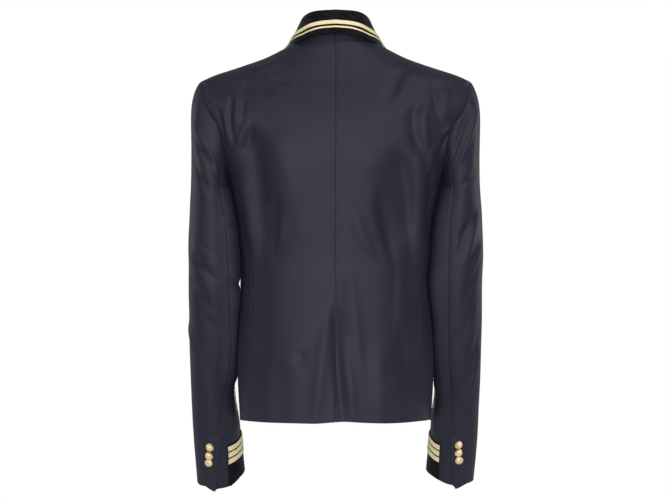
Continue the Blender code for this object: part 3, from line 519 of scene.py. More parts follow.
def sewn(name, one, other, partner):
    # the cloth left inside a seam, pressed open across it
    inside = body["wall"] + sheetStyle["allowanceGap"]
    middle = (one[0][0] + other[0][0]) / 2
    oneAway, otherAway = unit(one[1][0] - middle), unit(other[1][0] - middle)
    folded = (np.sum(oneAway * otherAway, axis=-1) > sheetStyle["foldedFrom"])[..., None]
    inward = unit(-one[0][1] - other[0][1] - (oneAway + otherAway) * folded * 2)
    lines = [points - normals * inside for points, normals in reversed(one[1:])]
    lines.append(middle + inward * inside)
    lines += [points - normals * inside for points, normals in other[1:]]
    outward = np.stack([one[1][1]] * 3 + [-inward] + [other[1][1]] * 3)
    goesWith[partner].append(sheetPiece(f"seamAllowance_{name}", np.stack(lines), outward,
                                        sheetStyle["allowanceWall"], "navy_cloth"))


# Materials


def linear(hexColour):
    # an sRGB hex value as linear red, green, blue, alpha
    values = [int(hexColour[i:i + 2], 16) / 255 for i in (0, 2, 4)]
    return [v / 12.92 if v <= 0.04045 else ((v + 0.055) / 1.055) ** 2.4 for v in values] + [1.0]


def addNode(tree, kind, inputs=(), links=(), **settings):
    # adds a node, sets its settings and inputs, and links its inputs from other nodes' outputs
    node = tree.nodes.new(kind)
    for setting, value in settings.items():
        setattr(node, setting, value)
    for socket, value in dict(inputs).items():
        node.inputs[socket].default_value = value
    for socket, source in dict(links).items():
        tree.links.new(source, node.inputs[socket])
    return node


def newMaterial(name, coordinates, **shader):
    material = bpy.data.materials.new(name)
    material.use_nodes = True
    tree = material.node_tree
    main = tree.nodes["Principled BSDF"]
    for socket, value in shader.items():
        main.inputs[socket.replace("_", " ")].default_value = value
    return material, tree, main, addNode(tree, "ShaderNodeTexCoord").outputs[coordinates]


def noise(tree, place, scale, detail, roughness=0.5):
    return addNode(tree, "ShaderNodeTexNoise", links={"Vector": place},
                   inputs={"Scale": scale, "Detail": detail, "Roughness": roughness}).outputs["Fac"]


def strands(tree, place, pitch, slant, distortion, detailScale=1.0):
    # slanting strands or ribs of a weave, a pitch apart
    turned = addNode(tree, "ShaderNodeMapping", links={"Vector": place},
                     inputs={"Rotation": (0, 0, math.radians(slant))})
    return addNode(tree, "ShaderNodeTexWave", links={"Vector": turned.outputs["Vector"]},
                   inputs={"Scale": 1000 / pitch / 20 * math.pi, "Distortion": distortion,
                           "Detail": 1.0, "Detail Scale": detailScale}).outputs["Fac"]


def summed(tree, part, whole, weight=0.8):
    return addNode(tree, "ShaderNodeMath", operation="MULTIPLY_ADD", inputs={1: weight},
                   links={0: part, 2: whole}).outputs["Value"]


def surface(tree, main, factor, stops, height, strength, depth=0.0003):
    # colours the material by a factor, and gives it a fine relief
    ramp = addNode(tree, "ShaderNodeValToRGB", links={"Fac": factor})
    while len(ramp.color_ramp.elements) < len(stops):
        ramp.color_ramp.elements.new(0.5)
    for element, (place, colour) in zip(ramp.color_ramp.elements, stops):
        element.position, element.color = place, linear(colour)
    relief = addNode(tree, "ShaderNodeBump", links={"Height": height},
                     inputs={"Strength": strength, "Distance": depth})
    tree.links.new(ramp.outputs["Color"], main.inputs["Base Color"])
    tree.links.new(relief.outputs["Normal"], main.inputs["Normal"])


navy = {"dark": "191a28", "middle": "1f2030", "light": "262638", "sheen": "9a9cb8", "relief": 0.22,
        "twillPitch": 1.1, "twillSlant": 62, "slub": 26.0, "slubShape": 14, "cloud": 14.0,
        "fuzz": 700.0}


def navyWorsted():
    # fine wool and silk twill, pressed: a soft satin sheen on the turns of the folds, with a faint
    # upright grain. The twill is drawn at 1.1 mm, coarser than real, so that it shows at all.
    material, tree, main, place = newMaterial(
        "navyWorstedTwill", "UV", Roughness=0.6, Specular_IOR_Level=0.34, Sheen_Weight=0.03,
        Sheen_Roughness=0.5, Sheen_Tint=linear(navy["sheen"]))
    upright = 1000 / navy["slub"]
    grain = addNode(tree, "ShaderNodeMapping", links={"Vector": place},
                    inputs={"Scale": (upright * navy["slubShape"], upright, 1)})
    streak = noise(tree, grain.outputs["Vector"], 1.0, 4.0, 0.6)
    both = summed(tree, streak, noise(tree, place, navy["cloud"], 3.0, 0.55))
    shade = addNode(tree, "ShaderNodeMath", operation="MULTIPLY", inputs={1: 0.55}, links={0: both})
    twill = strands(tree, place, navy["twillPitch"], navy["twillSlant"], 0.6, 2.0)
    weave = summed(tree, noise(tree, place, navy["fuzz"], 2.0), twill)
    stops = (0.3, navy["dark"]), (0.5, navy["middle"]), (0.72, navy["light"])
    surface(tree, main, shade.outputs["Value"], stops, weave, navy["relief"])
    return material


velvet = {"dark": "0a0a0d", "light": "24232a", "sheen": "777a88", "brushedPileAndSheen": 70.0, "pile": 900.0,
          "relief": 0.5, "pileDepth": 0.0006}


def blackVelvet():
    # cotton velvet: a short dense pile, nearly black face on, with a pale edge where it turns away
    # and cloudy lighter patches where it has been brushed, their lightness painted sheen
    material, tree, main, place = newMaterial(
        "blackCottonVelvet", "UV", Roughness=0.95, Specular_IOR_Level=0.1, Sheen_Weight=0.55,
        Sheen_Roughness=0.35, Sheen_Tint=linear(velvet["sheen"]))
    # partly painted sheen: lighter patches in the colour stand for the shine of brushed pile
    brushedPileAndSheen = noise(tree, place, velvet["brushedPileAndSheen"], 5.0, 0.65)
    surface(tree, main, brushedPileAndSheen, ((0.35, velvet["dark"]), (0.7, velvet["light"])),
            noise(tree, place, velvet["pile"], 2.0), velvet["relief"], velvet["pileDepth"])
    return material


braidLook = {"shade": "ecce84", "middle": "ffecb6", "light": "fff8d8", "cordPitch": 1.3, "slant": 32,
             "relief": 0.4}


def goldBraid():
    # flat braid of gilt wire wound on cotton: bright, in slanting strands, with painted shade in the
    # grooves between them
    material, tree, main, place = newMaterial("giltWireBraid", "UV", Roughness=0.36, Metallic=0.0,
                                              Specular_IOR_Level=0.9)
    cords = strands(tree, place, braidLook["cordPitch"], braidLook["slant"], 0.8)
    stops = (0.0, braidLook["shade"]), (0.4, braidLook["middle"]), (1.0, braidLook["light"])
    # painted shade and highlight: the colour follows the strands' relief, darker in its grooves and
    # lighter on its crests
    surface(tree, main, cords, stops, cords, braidLook["relief"])
    return material


gilt = {"gold": "fbe9bd", "worn": "e8c988", "paintedHollowShade": 320.0, "relief": 0.12}


def giltBrass():
    # stamped brass, gilt and lacquered: a clear warm shine, with painted shade: a deeper gold in the
    # hollows of its fine relief
    material, tree, main, place = newMaterial("giltStampedBrass", "Object", Roughness=0.36,
                                              Metallic=0.35)
    # painted shade: one noise both lowers the fine relief and darkens the gold, so its hollows look
    # shaded
    paintedHollowShade = noise(tree, place, gilt["paintedHollowShade"], 3.0)
    surface(tree, main, paintedHollowShade, ((0.35, gilt["worn"]), (0.6, gilt["gold"])), paintedHollowShade, gilt["relief"])
    return material


materials = {"navy_cloth": navyWorsted(), "black_velvet": blackVelvet(), "gold_braid": goldBraid(),
             "gold_button": giltBrass()}
print("materials made")

# Back, side and front panels

panels = {
    "backWidth": 140, "frontWidth": 200, "sideWidth": 112, "length": 590, "sideLength": 401.2,
    # the front is pressed down at the shoulder seam; the armhole seam holds the cloth flat beside it
    "shoulderPress": 0.5, "heldWidth": 8, "heldRows": 1.5,
    # angles of the side panel's top round the armhole, and the share of its height that fits it
    "sideTop": (-30, -90, -142), "sideFit": (0.8, 1.0),
}


def panelPoint(face, side, across, row, lift):
    # a point of a back or front panel, moved out by lift
    angle, height = panelPlace(face, across, row)
    if face == "front":
        pressed = ease(row, rowCount - 0.5, rowCount) * (across > neckShare)
        lift = lift - panels["shoulderPress"] * pressed
        if side < 0:
            lift = lift + overlapLift(bodyBase(face, angle, height)[..., 0], height)
    inward = ease((1 - across) * panels[face + "Width"], 0, panels["heldWidth"])
    held = mix(1, inward, ease(row, seamRows - panels["heldRows"], seamRows))
    point = bodyPoint(face, side * angle, height, lift, held)
    point[..., 1] += body["seamGap"] / 2 * (1 if face == "back" else -1)
    if face == "back":
        point[..., 0] += side * body["seamGap"] / 2
    return point, point * (1, 1, 0)


def sidePoint(side, across, up, lift):
    # a point of a side panel, from the back seam round to the front seam
    topHeight = armholeHeight(np.interp(across, (0, 0.5, 1), panels["sideTop"]))
    height = mix(body["hemHeight"], topHeight, up)
    fromSeam = 1 - np.abs(1 - 2 * across)
    halves = []
    for face in faceColumn:
        here, atSeam = (mix(ringAngle(face, sideSeamX(face, level) + body["seamGap"] / 2, level),
                            math.pi / 2, fromSeam) for level in (height, topHeight))
        atTop = ringAngle(face, armholeX(face, topHeight), topHeight)
        angle = here + (atTop - atSeam) * ease(up, *panels["sideFit"])
        halves.append(bodyPoint(face, side * angle, height + hemRise(angle, up * seamRows), lift))
    point = np.where((across <= 0.5)[..., None], *halves)
    return point, point * (1, 1, 0)


panelRows = shares(panels["length"])
for sideName, side in sides.items():
    for face in faceColumn:
        across, row = np.meshgrid(shares(panels[face + "Width"]), panelRows * rowCount)
        edges = ("seam" if face == "back" else "turned", "seam", "turned", "seam")
        cutPiece(f"{face}_{sideName}", f"{face}Panel_{sideName}",
                 *formed(lambda *at: panelPoint(face, side, *at), across, row, edges))
    across, up = np.meshgrid(shares(panels["sideWidth"]), shares(panels["sideLength"]))
    edges = ("seam", "seam", "turned", "seam")
    cutPiece(f"side_{sideName}", f"sidePanel_{sideName}",
             *formed(lambda *at: sidePoint(side, *at), across, up, edges))


def shareAlong(line, place, places):
    # the share of a line's length at which one of its places lies
    run = runAlong(line)
    return np.interp(place, places, run) / run[-1]


def armholeShare(name):
    return shareAlong(grids[name][0][:, -1], seamRows / rowCount, panelRows)


def shoulderShare(face, sideName):
    return shareAlong(grids[f"{face}_{sideName}"][0][-1], neckShare, shares(panels[face + "Width"]))


sewn("centreBack", edgeBand("back_left", "left"), edgeBand("back_right", "left"), "back_left")
for sideName in sides:
    for face, edge in (("back", "left"), ("front", "right")):
        panel, sidePanel = f"{face}_{sideName}", f"side_{sideName}"
        sewn(f"{face}Side_{sideName}", edgeBand(panel, "right", 0, armholeShare(panel)),
             edgeBand(sidePanel, edge), sidePanel)
    one, other = (edgeBand(f"{face}_{sideName}", "top", shoulderShare(face, sideName))
                  for face in faceColumn)
    sewn(f"shoulder_{sideName}", one, other, f"back_{sideName}")
print("body panels made")

# Sleeves

sleeve = {
    "radius": 42, "halfWidth": 40, "cuffRadius": 38, "underarmClear": 0.4,
    # how far the sleeve leaves the armhole outward, less at its top, and to the front and back. Each
    # grows between two levels, which run from -1 under the arm to 1 on the shoulder
    "flare": 0.78, "flareLevels": (-1.0, 0.1), "flareLess": 0.16, "lessLevels": (0.0, 1.0),
    "flareAside": 0.3, "asideLevels": (-0.9, -0.2), "clearLevels": (-0.7, 0.3),
    "headLevels": (0.2, 0.9), "pressLevels": (-0.3, -0.9), "hangLevels": (-0.82, -0.98),
    # lengths of the cap, of the arm with its six rings, and of the cuff
    "capLength": 118, "armLength": 372, "armRings": 6, "cuffLength": 88,
    "capHeight": -110, "capFullness": 0.6, "headRoll": 2.2, "headRing": 0.3, "headReach": 0.24,
    # the seam above the vent ends at a share of the sleeve's length; the vent's lap, in millimetres
    "ventHeight": 86, "ventTurn": 0.06, "ventShare": 47 / 56, "ventLap": 7.0, "ventLift": 2.1,
    "ventFade": (7, 26), "cuffTurnRing": 7.5,
    # creases fade in below the head, and are calmer from the first to the second of these rings
    "creaseDepth": 1.5, "creaseStart": 0.14, "cuffCalm": 0.7, "calmRings": (6.9, 7.3),
    "waviness": {1: (12, 90, 0.3), -1: (10, 90, 0.3)},
    # its clearance from the body, softened, and how far it hangs in between depths below the underarm
    "bodyClear": 0.5, "meetDepth": 6, "softening": 0.6, "hang": 2.4, "hangStart": 5,
    "hangEnd": (9, 30),
    # width, angles round the armhole, a turn to the front seam, and the hand of its seams
    "top": (175, (-30, 90, 218), 360, 1), "under": (112, (-30, -90, -142), 0, -1),
    # nominal height, how far the inner side is pressed towards the body, on the left and the right
    "press": ((-640, 0, 0), (-600, 0, 0.8), (-577, 0, 2), (-545, 0, 1.6), (-532, 0, 2.2),
              (-519, 0.2, 4.8), (-504, 4.8, 5.4), (-400, 5.4, 5.4), (-384, 5.6, 5.4),
              (-374, 3.4, 5.4), (-362, -0.4, 5.4), (-351, 3.2, 5.4), (-335, 4.4, 5.2),
              (-260, 3.6, 4), (-218, 3.2, 3.2), (-204, 0, 0)),
    # centre height, inner x, outer x, half depth, centre y, forward tilt, inward roll
    "rings": ((-220, 162, 224, 65, 0, 0, 0), (-265, 154.3, 226, 61, 1, 1, 0),
              (-313, 149.9, 227.4, 56.5, 2, 3, 0), (-360, 148.1, 227.4, 53.5, -2, 9, 0),
              (-450, 150.8, 227.4, 48, -22, 17, 2), (-530, 157, 225.7, 44, -48, 22, 6),
              (-592, 151, 224, 41, -73, 24, 11),
              (-672, 144.4, 219, 38, -104, 24, 13.6)),
    # nominal height, angle of the back seam on the left and on the right, of the front seam
    "seams": ((-672, 20.5, 19.5, -150), (-592, -5, -5, -146), (-530, -30, -20, -142),
              (-450, -36, -22, -142), (-360, -33, -22, -142), (-220, -31, -25, -142),
              (-110, -30, -30, -142)),
}
# How far the cuff's edge stands above its ring, by angle, on the left and on the right
cuffEdge = {
    1: ((-150, 0), (-90, 1), (-56, 1.6), (-28, -3.2), (5, -1.2), (8, -1.2), (10.5, -3.4), (16, -3),
        (26, 0.6), (40, 4), (72, 2.4), (100, 1), (150, 0), (220, 0)),
    -1: ((-150, 0), (-90, 2), (-52, 5.2), (-32, 5), (-12, 4), (6.5, 4.4), (9, 0.4), (13, 0.8),
         (30, 5.6), (46, 8), (62, 7.6), (100, 4), (150, 0), (220, 0)),
}
ringCount = len(sleeve["rings"])
sideColumn = {1: 1, -1: 2}
# Creases of the sleeves, by side: the same, with an angle round the sleeve in place of x
sleeveCreases = {
    1: (
        (54, -150, 16, -158, -24, -176, 4, 1.7, 0.2), (54, -164, 16, -172, -24, -190, 4.4, -1.6),
        (70, -176, 22, -206, -20, -236, 7, -2, 0.2), (56, -300, 20, -312, -26, -328, 4.4, 1.6),
        (-26, -262, -34, -272, -44, -276, 4, 1.4), (-32, -176, -42, -186, -54, -206, 4, 1.3),
        (66, -318, 24, -332, -30, -368, 7, -2.4, 0.2),
        (40, -300, 10, -318, -22, -326, 6, -1.5, 0.2),
        (80, -352, 30, -366, -6, -402, 7, -2.2, -0.2), (30, -398, 6, -412, -20, -436, 7, -1.4),
        (96, -420, 60, -440, 30, -480, 9, 1.6), (-54, -338, -90, -356, -134, -392, 8, -2.4, 0.2),
        (156, -334, 184, -352, 220, -384, 8, -3, 0.2),
        (136, -396, 176, -388, 214, -354, 8, -2.6, -0.2),
        (170, -300, 190, -322, 220, -338, 7, -1.6), (150, -440, 180, -436, 210, -412, 9, -1.5),
        (110, -200, 100, -280, 108, -360, 13, 1.2), (-48, -190, -45, -305, -48, -420, 13, 4),
        (-50, -300, -50, -490, -48, -680, 14, 4.4),
    ),
    -1: (
        (60, -120, 26, -150, -10, -188, 5, 2.6, 0.2), (36, -108, 10, -132, -18, -162, 4.4, -2.4),
        (60, -202, 22, -206, -16, -216, 4.4, -1.9, 0.2),
        (58, -240, 34, -284, 12, -344, 5.4, 2.8, 0.2), (30, -254, 8, -294, -8, -336, 5.4, -2),
        (72, -150, 62, -180, 66, -214, 8, -2.2), (74, -288, 46, -320, 28, -356, 4, 2.4, 0.2),
        (70, -318, 36, -350, 4, -398, 6, -1.8, 0.2), (52, -386, 30, -418, 10, -456, 4, 2.2, 0.2),
        (68, -444, 42, -488, 20, -542, 4.4, 2.6, 0.2), (84, -396, 54, -430, 22, -500, 6, -1.6),
        (36, -270, 14, -288, -16, -300, 7, -1.2), (150, -338, 184, -348, 220, -376, 8, -3, 0.2),
        (146, -414, 180, -400, 216, -362, 8, -2.6, -0.2),
        (166, -306, 190, -318, 216, -330, 7, -1.6),
        (-58, -330, -92, -350, -130, -380, 8, -2.2, 0.2), (108, -210, 98, -290, 104, -380, 13, 1.2),
        (-50, -190, -50, -305, -50, -420, 14, 3.6), (-50, -300, -50, -490, -48, -680, 14, 4.2),
    ),
}


def sleeveStart(side, angle):
    # the way the sleeve leaves the armhole
    sine = sinOf(angle)
    outward = sleeve["flare"] * ease(sine, *sleeve["flareLevels"])
    outward = outward - sleeve["flareLess"] * ease(sine, *sleeve["lessLevels"])
    aside = sleeve["flareAside"] * cosOf(angle) * ease(sine, *sleeve["asideLevels"])
    return stack(side * outward, aside, -np.sqrt(1 - outward ** 2 - aside ** 2))


def sleeveRingPoint(side, angle, ring):
    height, inner, outer, halfDepth, centreY, tilt, roll = ring
    across, along = (outer - inner) / 2 * sinOf(angle), halfDepth * cosOf(angle)
    drop = along * sinOf(tilt) + across * math.tan(math.radians(roll))
    return stack(side * ((inner + outer) / 2 + across), centreY + along * cosOf(tilt), height - drop)


def sleeveBase(side, angle, ring):
    # a point between the sleeve's rings, on a smooth line down from the armhole
    start = sleeveStart(side, angle)
    clear = side * sleeve["underarmClear"] * (1 - ease(sinOf(angle), *sleeve["clearLevels"]))
    first = armholePoint(side, angle) + start * body["seamGap"] + stack(clear, 0, 0)
    knots = np.stack([first] + [sleeveRingPoint(side, angle, row) for row in sleeve["rings"]])
    spans = np.linalg.norm(np.diff(knots, axis=0), axis=-1)[..., None]
    rises = np.diff(knots, axis=0) / spans
    leaving = start[None] * sleeve["capFullness"]
    slopes = np.concatenate([leaving, innerSlopes(rises, spans), rises[-1:]])
    index = np.clip(np.floor(ring).astype(int), 0, ringCount - 1)
    share = (ring - index)[..., None]

    def pick(values, step=0):
        wide = np.broadcast_to((index + step)[None, ..., None], (1,) + values.shape[1:])
        return np.take_along_axis(values, wide, axis=0)[0]
    return hermite(pick(knots), pick(slopes), pick(knots, 1), pick(slopes, 1), pick(spans), share)


def sleeveNormal(side, angle, ring):
    low, high = np.maximum(ring - 0.02, 0), np.minimum(ring + 0.02, ringCount)
    down = sleeveBase(side, angle, high) - sleeveBase(side, angle, low)
    turn = sleeveBase(side, angle + 1, ring) - sleeveBase(side, angle - 1, ring)
    return unit(np.cross(turn, down) * side)


def nominalHeight(ring):
    heights = [sleeve["capHeight"]] + [row[0] for row in sleeve["rings"]]
    return np.interp(ring, range(ringCount + 1), heights)


def alongSleeve(table, ring, column):
    return curveThrough(sleeve[table], nominalHeight(ring), column)


def sleeveCrease(side, angle, ring):
    height = nominalHeight(ring)
    radius = math.radians(1) * sleeve["radius"]
    total = unevenness(sinOf(angle) * sleeve["halfWidth"], height, *sleeve["waviness"][side])
    for a0, z0, a1, z1, a2, z2, *form in sleeveCreases[side]:
        near = a1 + (angle - a1 + 180) % 360 - 180
        total = total + creaseHeight(near * radius, height, a0 * radius, z0, a1 * radius, z1,
                                     a2 * radius, z2, *form)
    return total


def sleevePoint(side, angle, ring, lift):
    # a point on the outside of the sleeve, moved out by lift, and its normal
    calm = (1 - sleeve["cuffCalm"] * ease(ring, *sleeve["calmRings"])) * sleeve["creaseDepth"]
    away = sleeveCrease(side, angle, ring) * ease(ring, 0.0, sleeve["creaseStart"]) * calm
    # the padded sleeve head rolls a little above the shoulder seam
    rolled = bump(ring - sleeve["headRing"], sleeve["headReach"])
    sine = sinOf(angle)
    head = sleeve["headRoll"] * ease(sine, *sleeve["headLevels"]) * rolled
    pressed = alongSleeve("press", ring, sideColumn[side]) * ease(sine, *sleeve["pressLevels"])
    normal = sleeveNormal(side, angle, ring)
    point = sleeveBase(side, angle, ring) + normal * (away + head + pressed)[..., None]
    # where it meets the body, its cloth lies flat along the side panel
    y, height = point[..., 1], point[..., 2]
    bodyX = np.where(y >= 0, *(ringHalfWidth(face, height)
                               * rounded(np.minimum(np.abs(y) / ringDepth(face, height), 1))
                               for face in faceColumn))
    low = np.maximum(-height + body["underarmHeight"], 0)
    apart = bodyX + sleeve["bodyClear"] - point[..., 0] * side
    reach = apart * ease(low, 0, sleeve["meetDepth"])
    point[..., 0] += side * (np.sqrt(reach ** 2 + sleeve["softening"]) + reach) / 2 * (low > 0)
    # just below the underarm it hangs against the body
    near = ease(low, 0, sleeve["hangStart"]) * (1 - ease(low, *sleeve["hangEnd"]))
    near = near * ease(sine, *sleeve["hangLevels"])
    point[..., 0] += side * np.clip(apart, -sleeve["hang"], 0) * near
    rise = np.interp((angle + 150) % 360 - 150, *np.array(cuffEdge[side]).T)
    point[..., 2] += rise * ease(ring, sleeve["cuffTurnRing"], ringCount)
    return point + normal * np.asarray(lift)[..., None], normal


def cuffRing(distance):
    return ringCount - distance / sleeve["cuffLength"]


def sleevePanel(side, part):
    width, corners, turn, hand = sleeve[part]
    lowRing = 1 + sleeve["armRings"]
    rows = np.concatenate([shares(sleeve["capLength"], ends=(True, False)),
                           mix(1, lowRing, shares(sleeve["armLength"], ends=(False, False))[1:]),
                           lowRing + shares(sleeve["cuffLength"], ends=(False, True))[1:]])
    across, ring = np.meshgrid(shares(width), rows)
    gap = hand * math.degrees(body["seamGap"] / 2 / sleeve["radius"])
    back, front = alongSleeve("seams", ring, sideColumn[side]), alongSleeve("seams", ring, 3)
    # the top sleeve laps over the under sleeve at the vent
    ventTop = cuffRing(sleeve["ventHeight"])
    lapped = ease(ring, ventTop - sleeve["ventTurn"], ventTop) * (part == "top")
    lap = math.degrees(sleeve["ventLap"] / sleeve["cuffRadius"]) * lapped
    atArmhole = np.interp(across, (0, 0.5, 1), corners) + gap * (1 - 2 * across)
    atCuff = mix(back + gap - lap, front + turn - gap, across)
    angle = mix(atArmhole, atCuff, ease(ring, 0.0, 1.0))
    lift = sleeve["ventLift"] * lapped * (1 - ease(across * width, *sleeve["ventFade"]))
    flat, normal = sleevePoint(side, angle, ring, lift)
    # the vent has a turned edge of its own
    fromVent = edgeDistances(flat)[0]
    seams = edgeLift(flat, ("seam", "seam", "seam", "turned"))
    seams = seams + lapped * (seamDip(fromVent) - turnedDip(fromVent))
    return flat + normal * seams[..., None], normal


for sideName, side in sides.items():
    for part in ("top", "under"):
        cutPiece(f"sleeve_{part}_{sideName}", f"{part}Sleeve_{sideName}", *sleevePanel(side, part))
    top, under = f"sleeve_top_{sideName}", f"sleeve_under_{sideName}"
    one, other = (edgeBand(panel, "left", 0, sleeve["ventShare"]) for panel in (top, under))
    sewn(f"sleeveBack_{sideName}", one, other, top)
    sewn(f"sleeveFront_{sideName}", edgeBand(top, "right"), edgeBand(under, "right"), top)
    back, front = (edgeBand(panel, "right", armholeShare(panel))
                   for panel in (f"back_{sideName}", f"front_{sideName}"))
    head = joinBands(back, [(points[::-1], normals[::-1]) for points, normals in front])
    halves = joinBands(edgeBand(top, "bottom", 0, 0.5), edgeBand(top, "bottom", 0.5, 1))
    sewn(f"sleeveHead_{sideName}", head, halves, top)
    sewn(f"underarm_{sideName}", edgeBand(f"side_{sideName}", "top"), edgeBand(under, "bottom"),
         under)
print("sleeves made")

# Collar and its braids

collar = {
    "wall": 1.8, "length": 372, "depth": 112, "step": 2.2, "foldRadius": 2.7, "belly": 1.6,
    # the way its fold faces on the fronts, and where that begins
    "foldUp": (-0.1, -1.0, 0.15), "upShares": (0.6, 0.95),
    # its clearance over the front, and over which share of the sheet and height it settles
    "clear": 3.4, "liesFrom": 0.68, "liesBelow": -8.0, "settle": (0.5, 0.7), "settleHeight": 16,
    # shares of the sheet at which the stand ends and the fall begins
    "standEnd": 0.3, "fallStart": 0.5,
    # how far the seam is tucked in and down, at the gorge and behind the neckline
    "tuckIn": (0.4, 2.5), "tuckDown": (0.7, -4.0), "tuckShares": (0.55, 0.85),
    # share of the way from nape to gorge, roll line x, y, height
    "roll": ((0.0, 0, 54, 55.4), (0.2, 34, 45, 53), (0.4, 49.5, 23, 43.5), (0.5, 53, 3, 35.5),
             (0.6, 56, -19, 25), (0.75, 58.5, -48, 5), (0.9, 50.5, -68, -20), (1.0, 41.5, -74, -39)),
    # share of the way, lower edge of the fall x, y, height
    "edge": ((0, 0, 78, 19.2), (0.2, 40, 67, 14), (0.3, 52.5, 54, 8.6), (0.4, 63, 38, 5.6),
             (0.5, 71.2, 7, 2.6), (0.6, 77.5, -24, -1), (0.75, 95.5, -53, -20),
             (0.9, 103, -61.5, -41), (1, 91, -72.5, -64)),
}


def tablePoint(rows, share):
    return stack(*[curveThrough(rows, share, column) for column in (1, 2, 3)])


def collarSeam(share):
    backPlace = neckline("back", np.clip(share * 2, 0, 1))
    frontPlace = neckline("front", np.clip(2 - share * 2, 0, 1))
    atBack = (share <= 0.5)[..., None]
    point = np.where(atBack, bodyPoint("back", *backPlace), bodyPoint("front", *frontPlace))
    # tucked in behind the neckline, but for the gorge
    tucked = 1 - ease(share, *collar["tuckShares"])
    inward = unit(point * (-1, -1, 0)) * mix(*collar["tuckIn"], tucked)[..., None]
    return point + inward + stack(0, 0, mix(*collar["tuckDown"], tucked))


def foldedSheet(seam, roll, edge, upward, outward, share):
    # rises from its seam, turns on a small radius and falls to its edge
    standEnd, fallStart, radius = collar["standEnd"], collar["fallStart"], collar["foldRadius"]
    centre = roll - upward * radius
    share = share[..., None]
    stand = mix(seam, centre - outward * radius, share / standEnd)
    turn = math.pi * (share - standEnd) / (fallStart - standEnd)
    fold = centre + (upward * np.sin(turn) - outward * np.cos(turn)) * radius
    along = np.clip((share - fallStart) / (1 - fallStart), 0, 1)
    swell = unit(outward + upward) * collar["belly"] * np.sin(math.pi * along)
    fall = mix(centre + outward * radius, edge, along) + swell
    return np.where(share <= standEnd, stand, np.where(share <= fallStart, fold, fall))


def collarPoint(around, across):
    # around runs from the right gorge past the nape to the left gorge
    share = np.abs(around - 0.5) * 2
    roll, edge = tablePoint(collar["roll"], share), tablePoint(collar["edge"], share)
    seam = collarSeam(share)
    leaning = unit(unit(roll - seam) + unit(roll - edge))
    forward = ease(share, *collar["upShares"])[..., None]
    upward = unit(mix(leaning, np.array(collar["foldUp"]), forward))
    ahead = tablePoint(collar["roll"], share + 0.01) - tablePoint(collar["roll"], share - 0.01)
    point = foldedSheet(seam, roll, edge, upward, unit(np.cross(upward, ahead)), across)
    # its ends lie on the fronts
    height, liesBelow = point[..., 2], collar["liesBelow"]
    lies = (share > collar["liesFrom"]) & (across > collar["fallStart"]) & (height < liesBelow)
    front = onFront(1, point[..., 0], height, np.zeros_like(share))[..., 1]
    clearance = collar["clear"] * ease(across, *collar["settle"])
    clearance = clearance * ease(-height, -liesBelow, collar["settleHeight"])
    point[..., 1] = np.where(lies, np.minimum(point[..., 1], front - clearance), point[..., 1])
    return point * stack(np.where(around >= 0.5, 1, -1), 1, 1)


def movedOut(around, across, distance):
    # a point of the collar, moved along its normal
    step = 0.004
    one = collarPoint(around + step, across) - collarPoint(around - step, across)
    two = collarPoint(around, across + step) - collarPoint(around, across - step)
    normal = unit(np.cross(one, two))
    return collarPoint(around, across) + normal * distance[..., None], normal


collarBraids = {
    # share of the way from the nape, then start and width as shares of the fall; ribs across
    "wide": {"start": ((0, 0.487), (0.1, 0.49), (0.2, 0.53), (0.35, 0.557), (1, 0.557)),
             "width": ((0, 0.172), (0.35, 0.145), (1, 0.145)), "ribs": 4, "ribHeight": 0.6},
    "narrow": {"start": ((0, 0.74), (0.1, 0.732), (0.2, 0.78), (0.35, 0.774), (1, 0.774)),
               "width": ((0, 0.076), (0.35, 0.066), (1, 0.066)), "ribs": 1, "ribHeight": 0.8},
}
# Braid on the collar and the cuffs: its height under its ribs, its wall and its step lengthwise
braid = {
    "collar": {"height": 1.05, "wall": 0.5, "length": 360, "step": 1.6, "ends": (0.006, 0.994)},
    "cuff": {"height": 0.4, "wall": 0.4, "length": 150, "step": 1.8},
    "ribPower": 0.6, "ribSteps": 8,
}


def braidGrid(place, ribs):
    look, ribPoints = braid[place], ribs * braid["ribSteps"] + 1
    return np.meshgrid(shares(look["length"], step=look["step"]), np.linspace(0, 1, ribPoints))


def ribbed(across, ribs, height):
    return height * np.abs(np.sin(math.pi * ribs * across)) ** braid["ribPower"]


def makeCollarBraid(kind):
    look = collarBraids[kind]
    u, v = braidGrid("collar", look["ribs"])
    around = mix(*braid["collar"]["ends"], u)
    share = np.abs(around - 0.5) * 2
    onFall = curveThrough(look["start"], share) + curveThrough(look["width"], share) * v
    lift = braid["collar"]["height"] + ribbed(v, look["ribs"], look["ribHeight"])
    points, normal = movedOut(around, mix(collar["fallStart"], 1.0, onFall), lift)
    piece = sheetPiece(f"collarBraid_{kind}", points, normal, braid["collar"]["wall"], "gold_braid",
                       f"collar_braid_{kind}")
    goesWith["collar"].append(piece)


around, across = np.meshgrid(shares(collar["length"]), shares(collar["depth"], step=collar["step"]))
cutPiece("collar", "velvetCollar",
         *formed(movedOut, around, across, ("turned", "turned", "plain", "turned")),
         "black_velvet", collar["wall"])
for kind in collarBraids:
    makeCollarBraid(kind)
print("collar made")

# Lapels

lapel = {
    "lift": 1.5, "roll": 2.2, "drop": 2.0, "start": {1: 0.53, -1: 0.03}, "underClear": 8.0,
    "rollReach": 7.0, "length": 200, "width": 86, "leastWidth": 4,
    # share of the width at which the notch is, and where the notch and the peak are
    "notchShare": 4 / 6, "notch": (89, -69), "peak": (126, -52), "topStart": 0.7,
    # share of the way from the break to the gorge, width
    "widths": ((0.0, 5), (0.25, 25), (0.5, 44), (0.75, 62), (1.0, 80)),
}


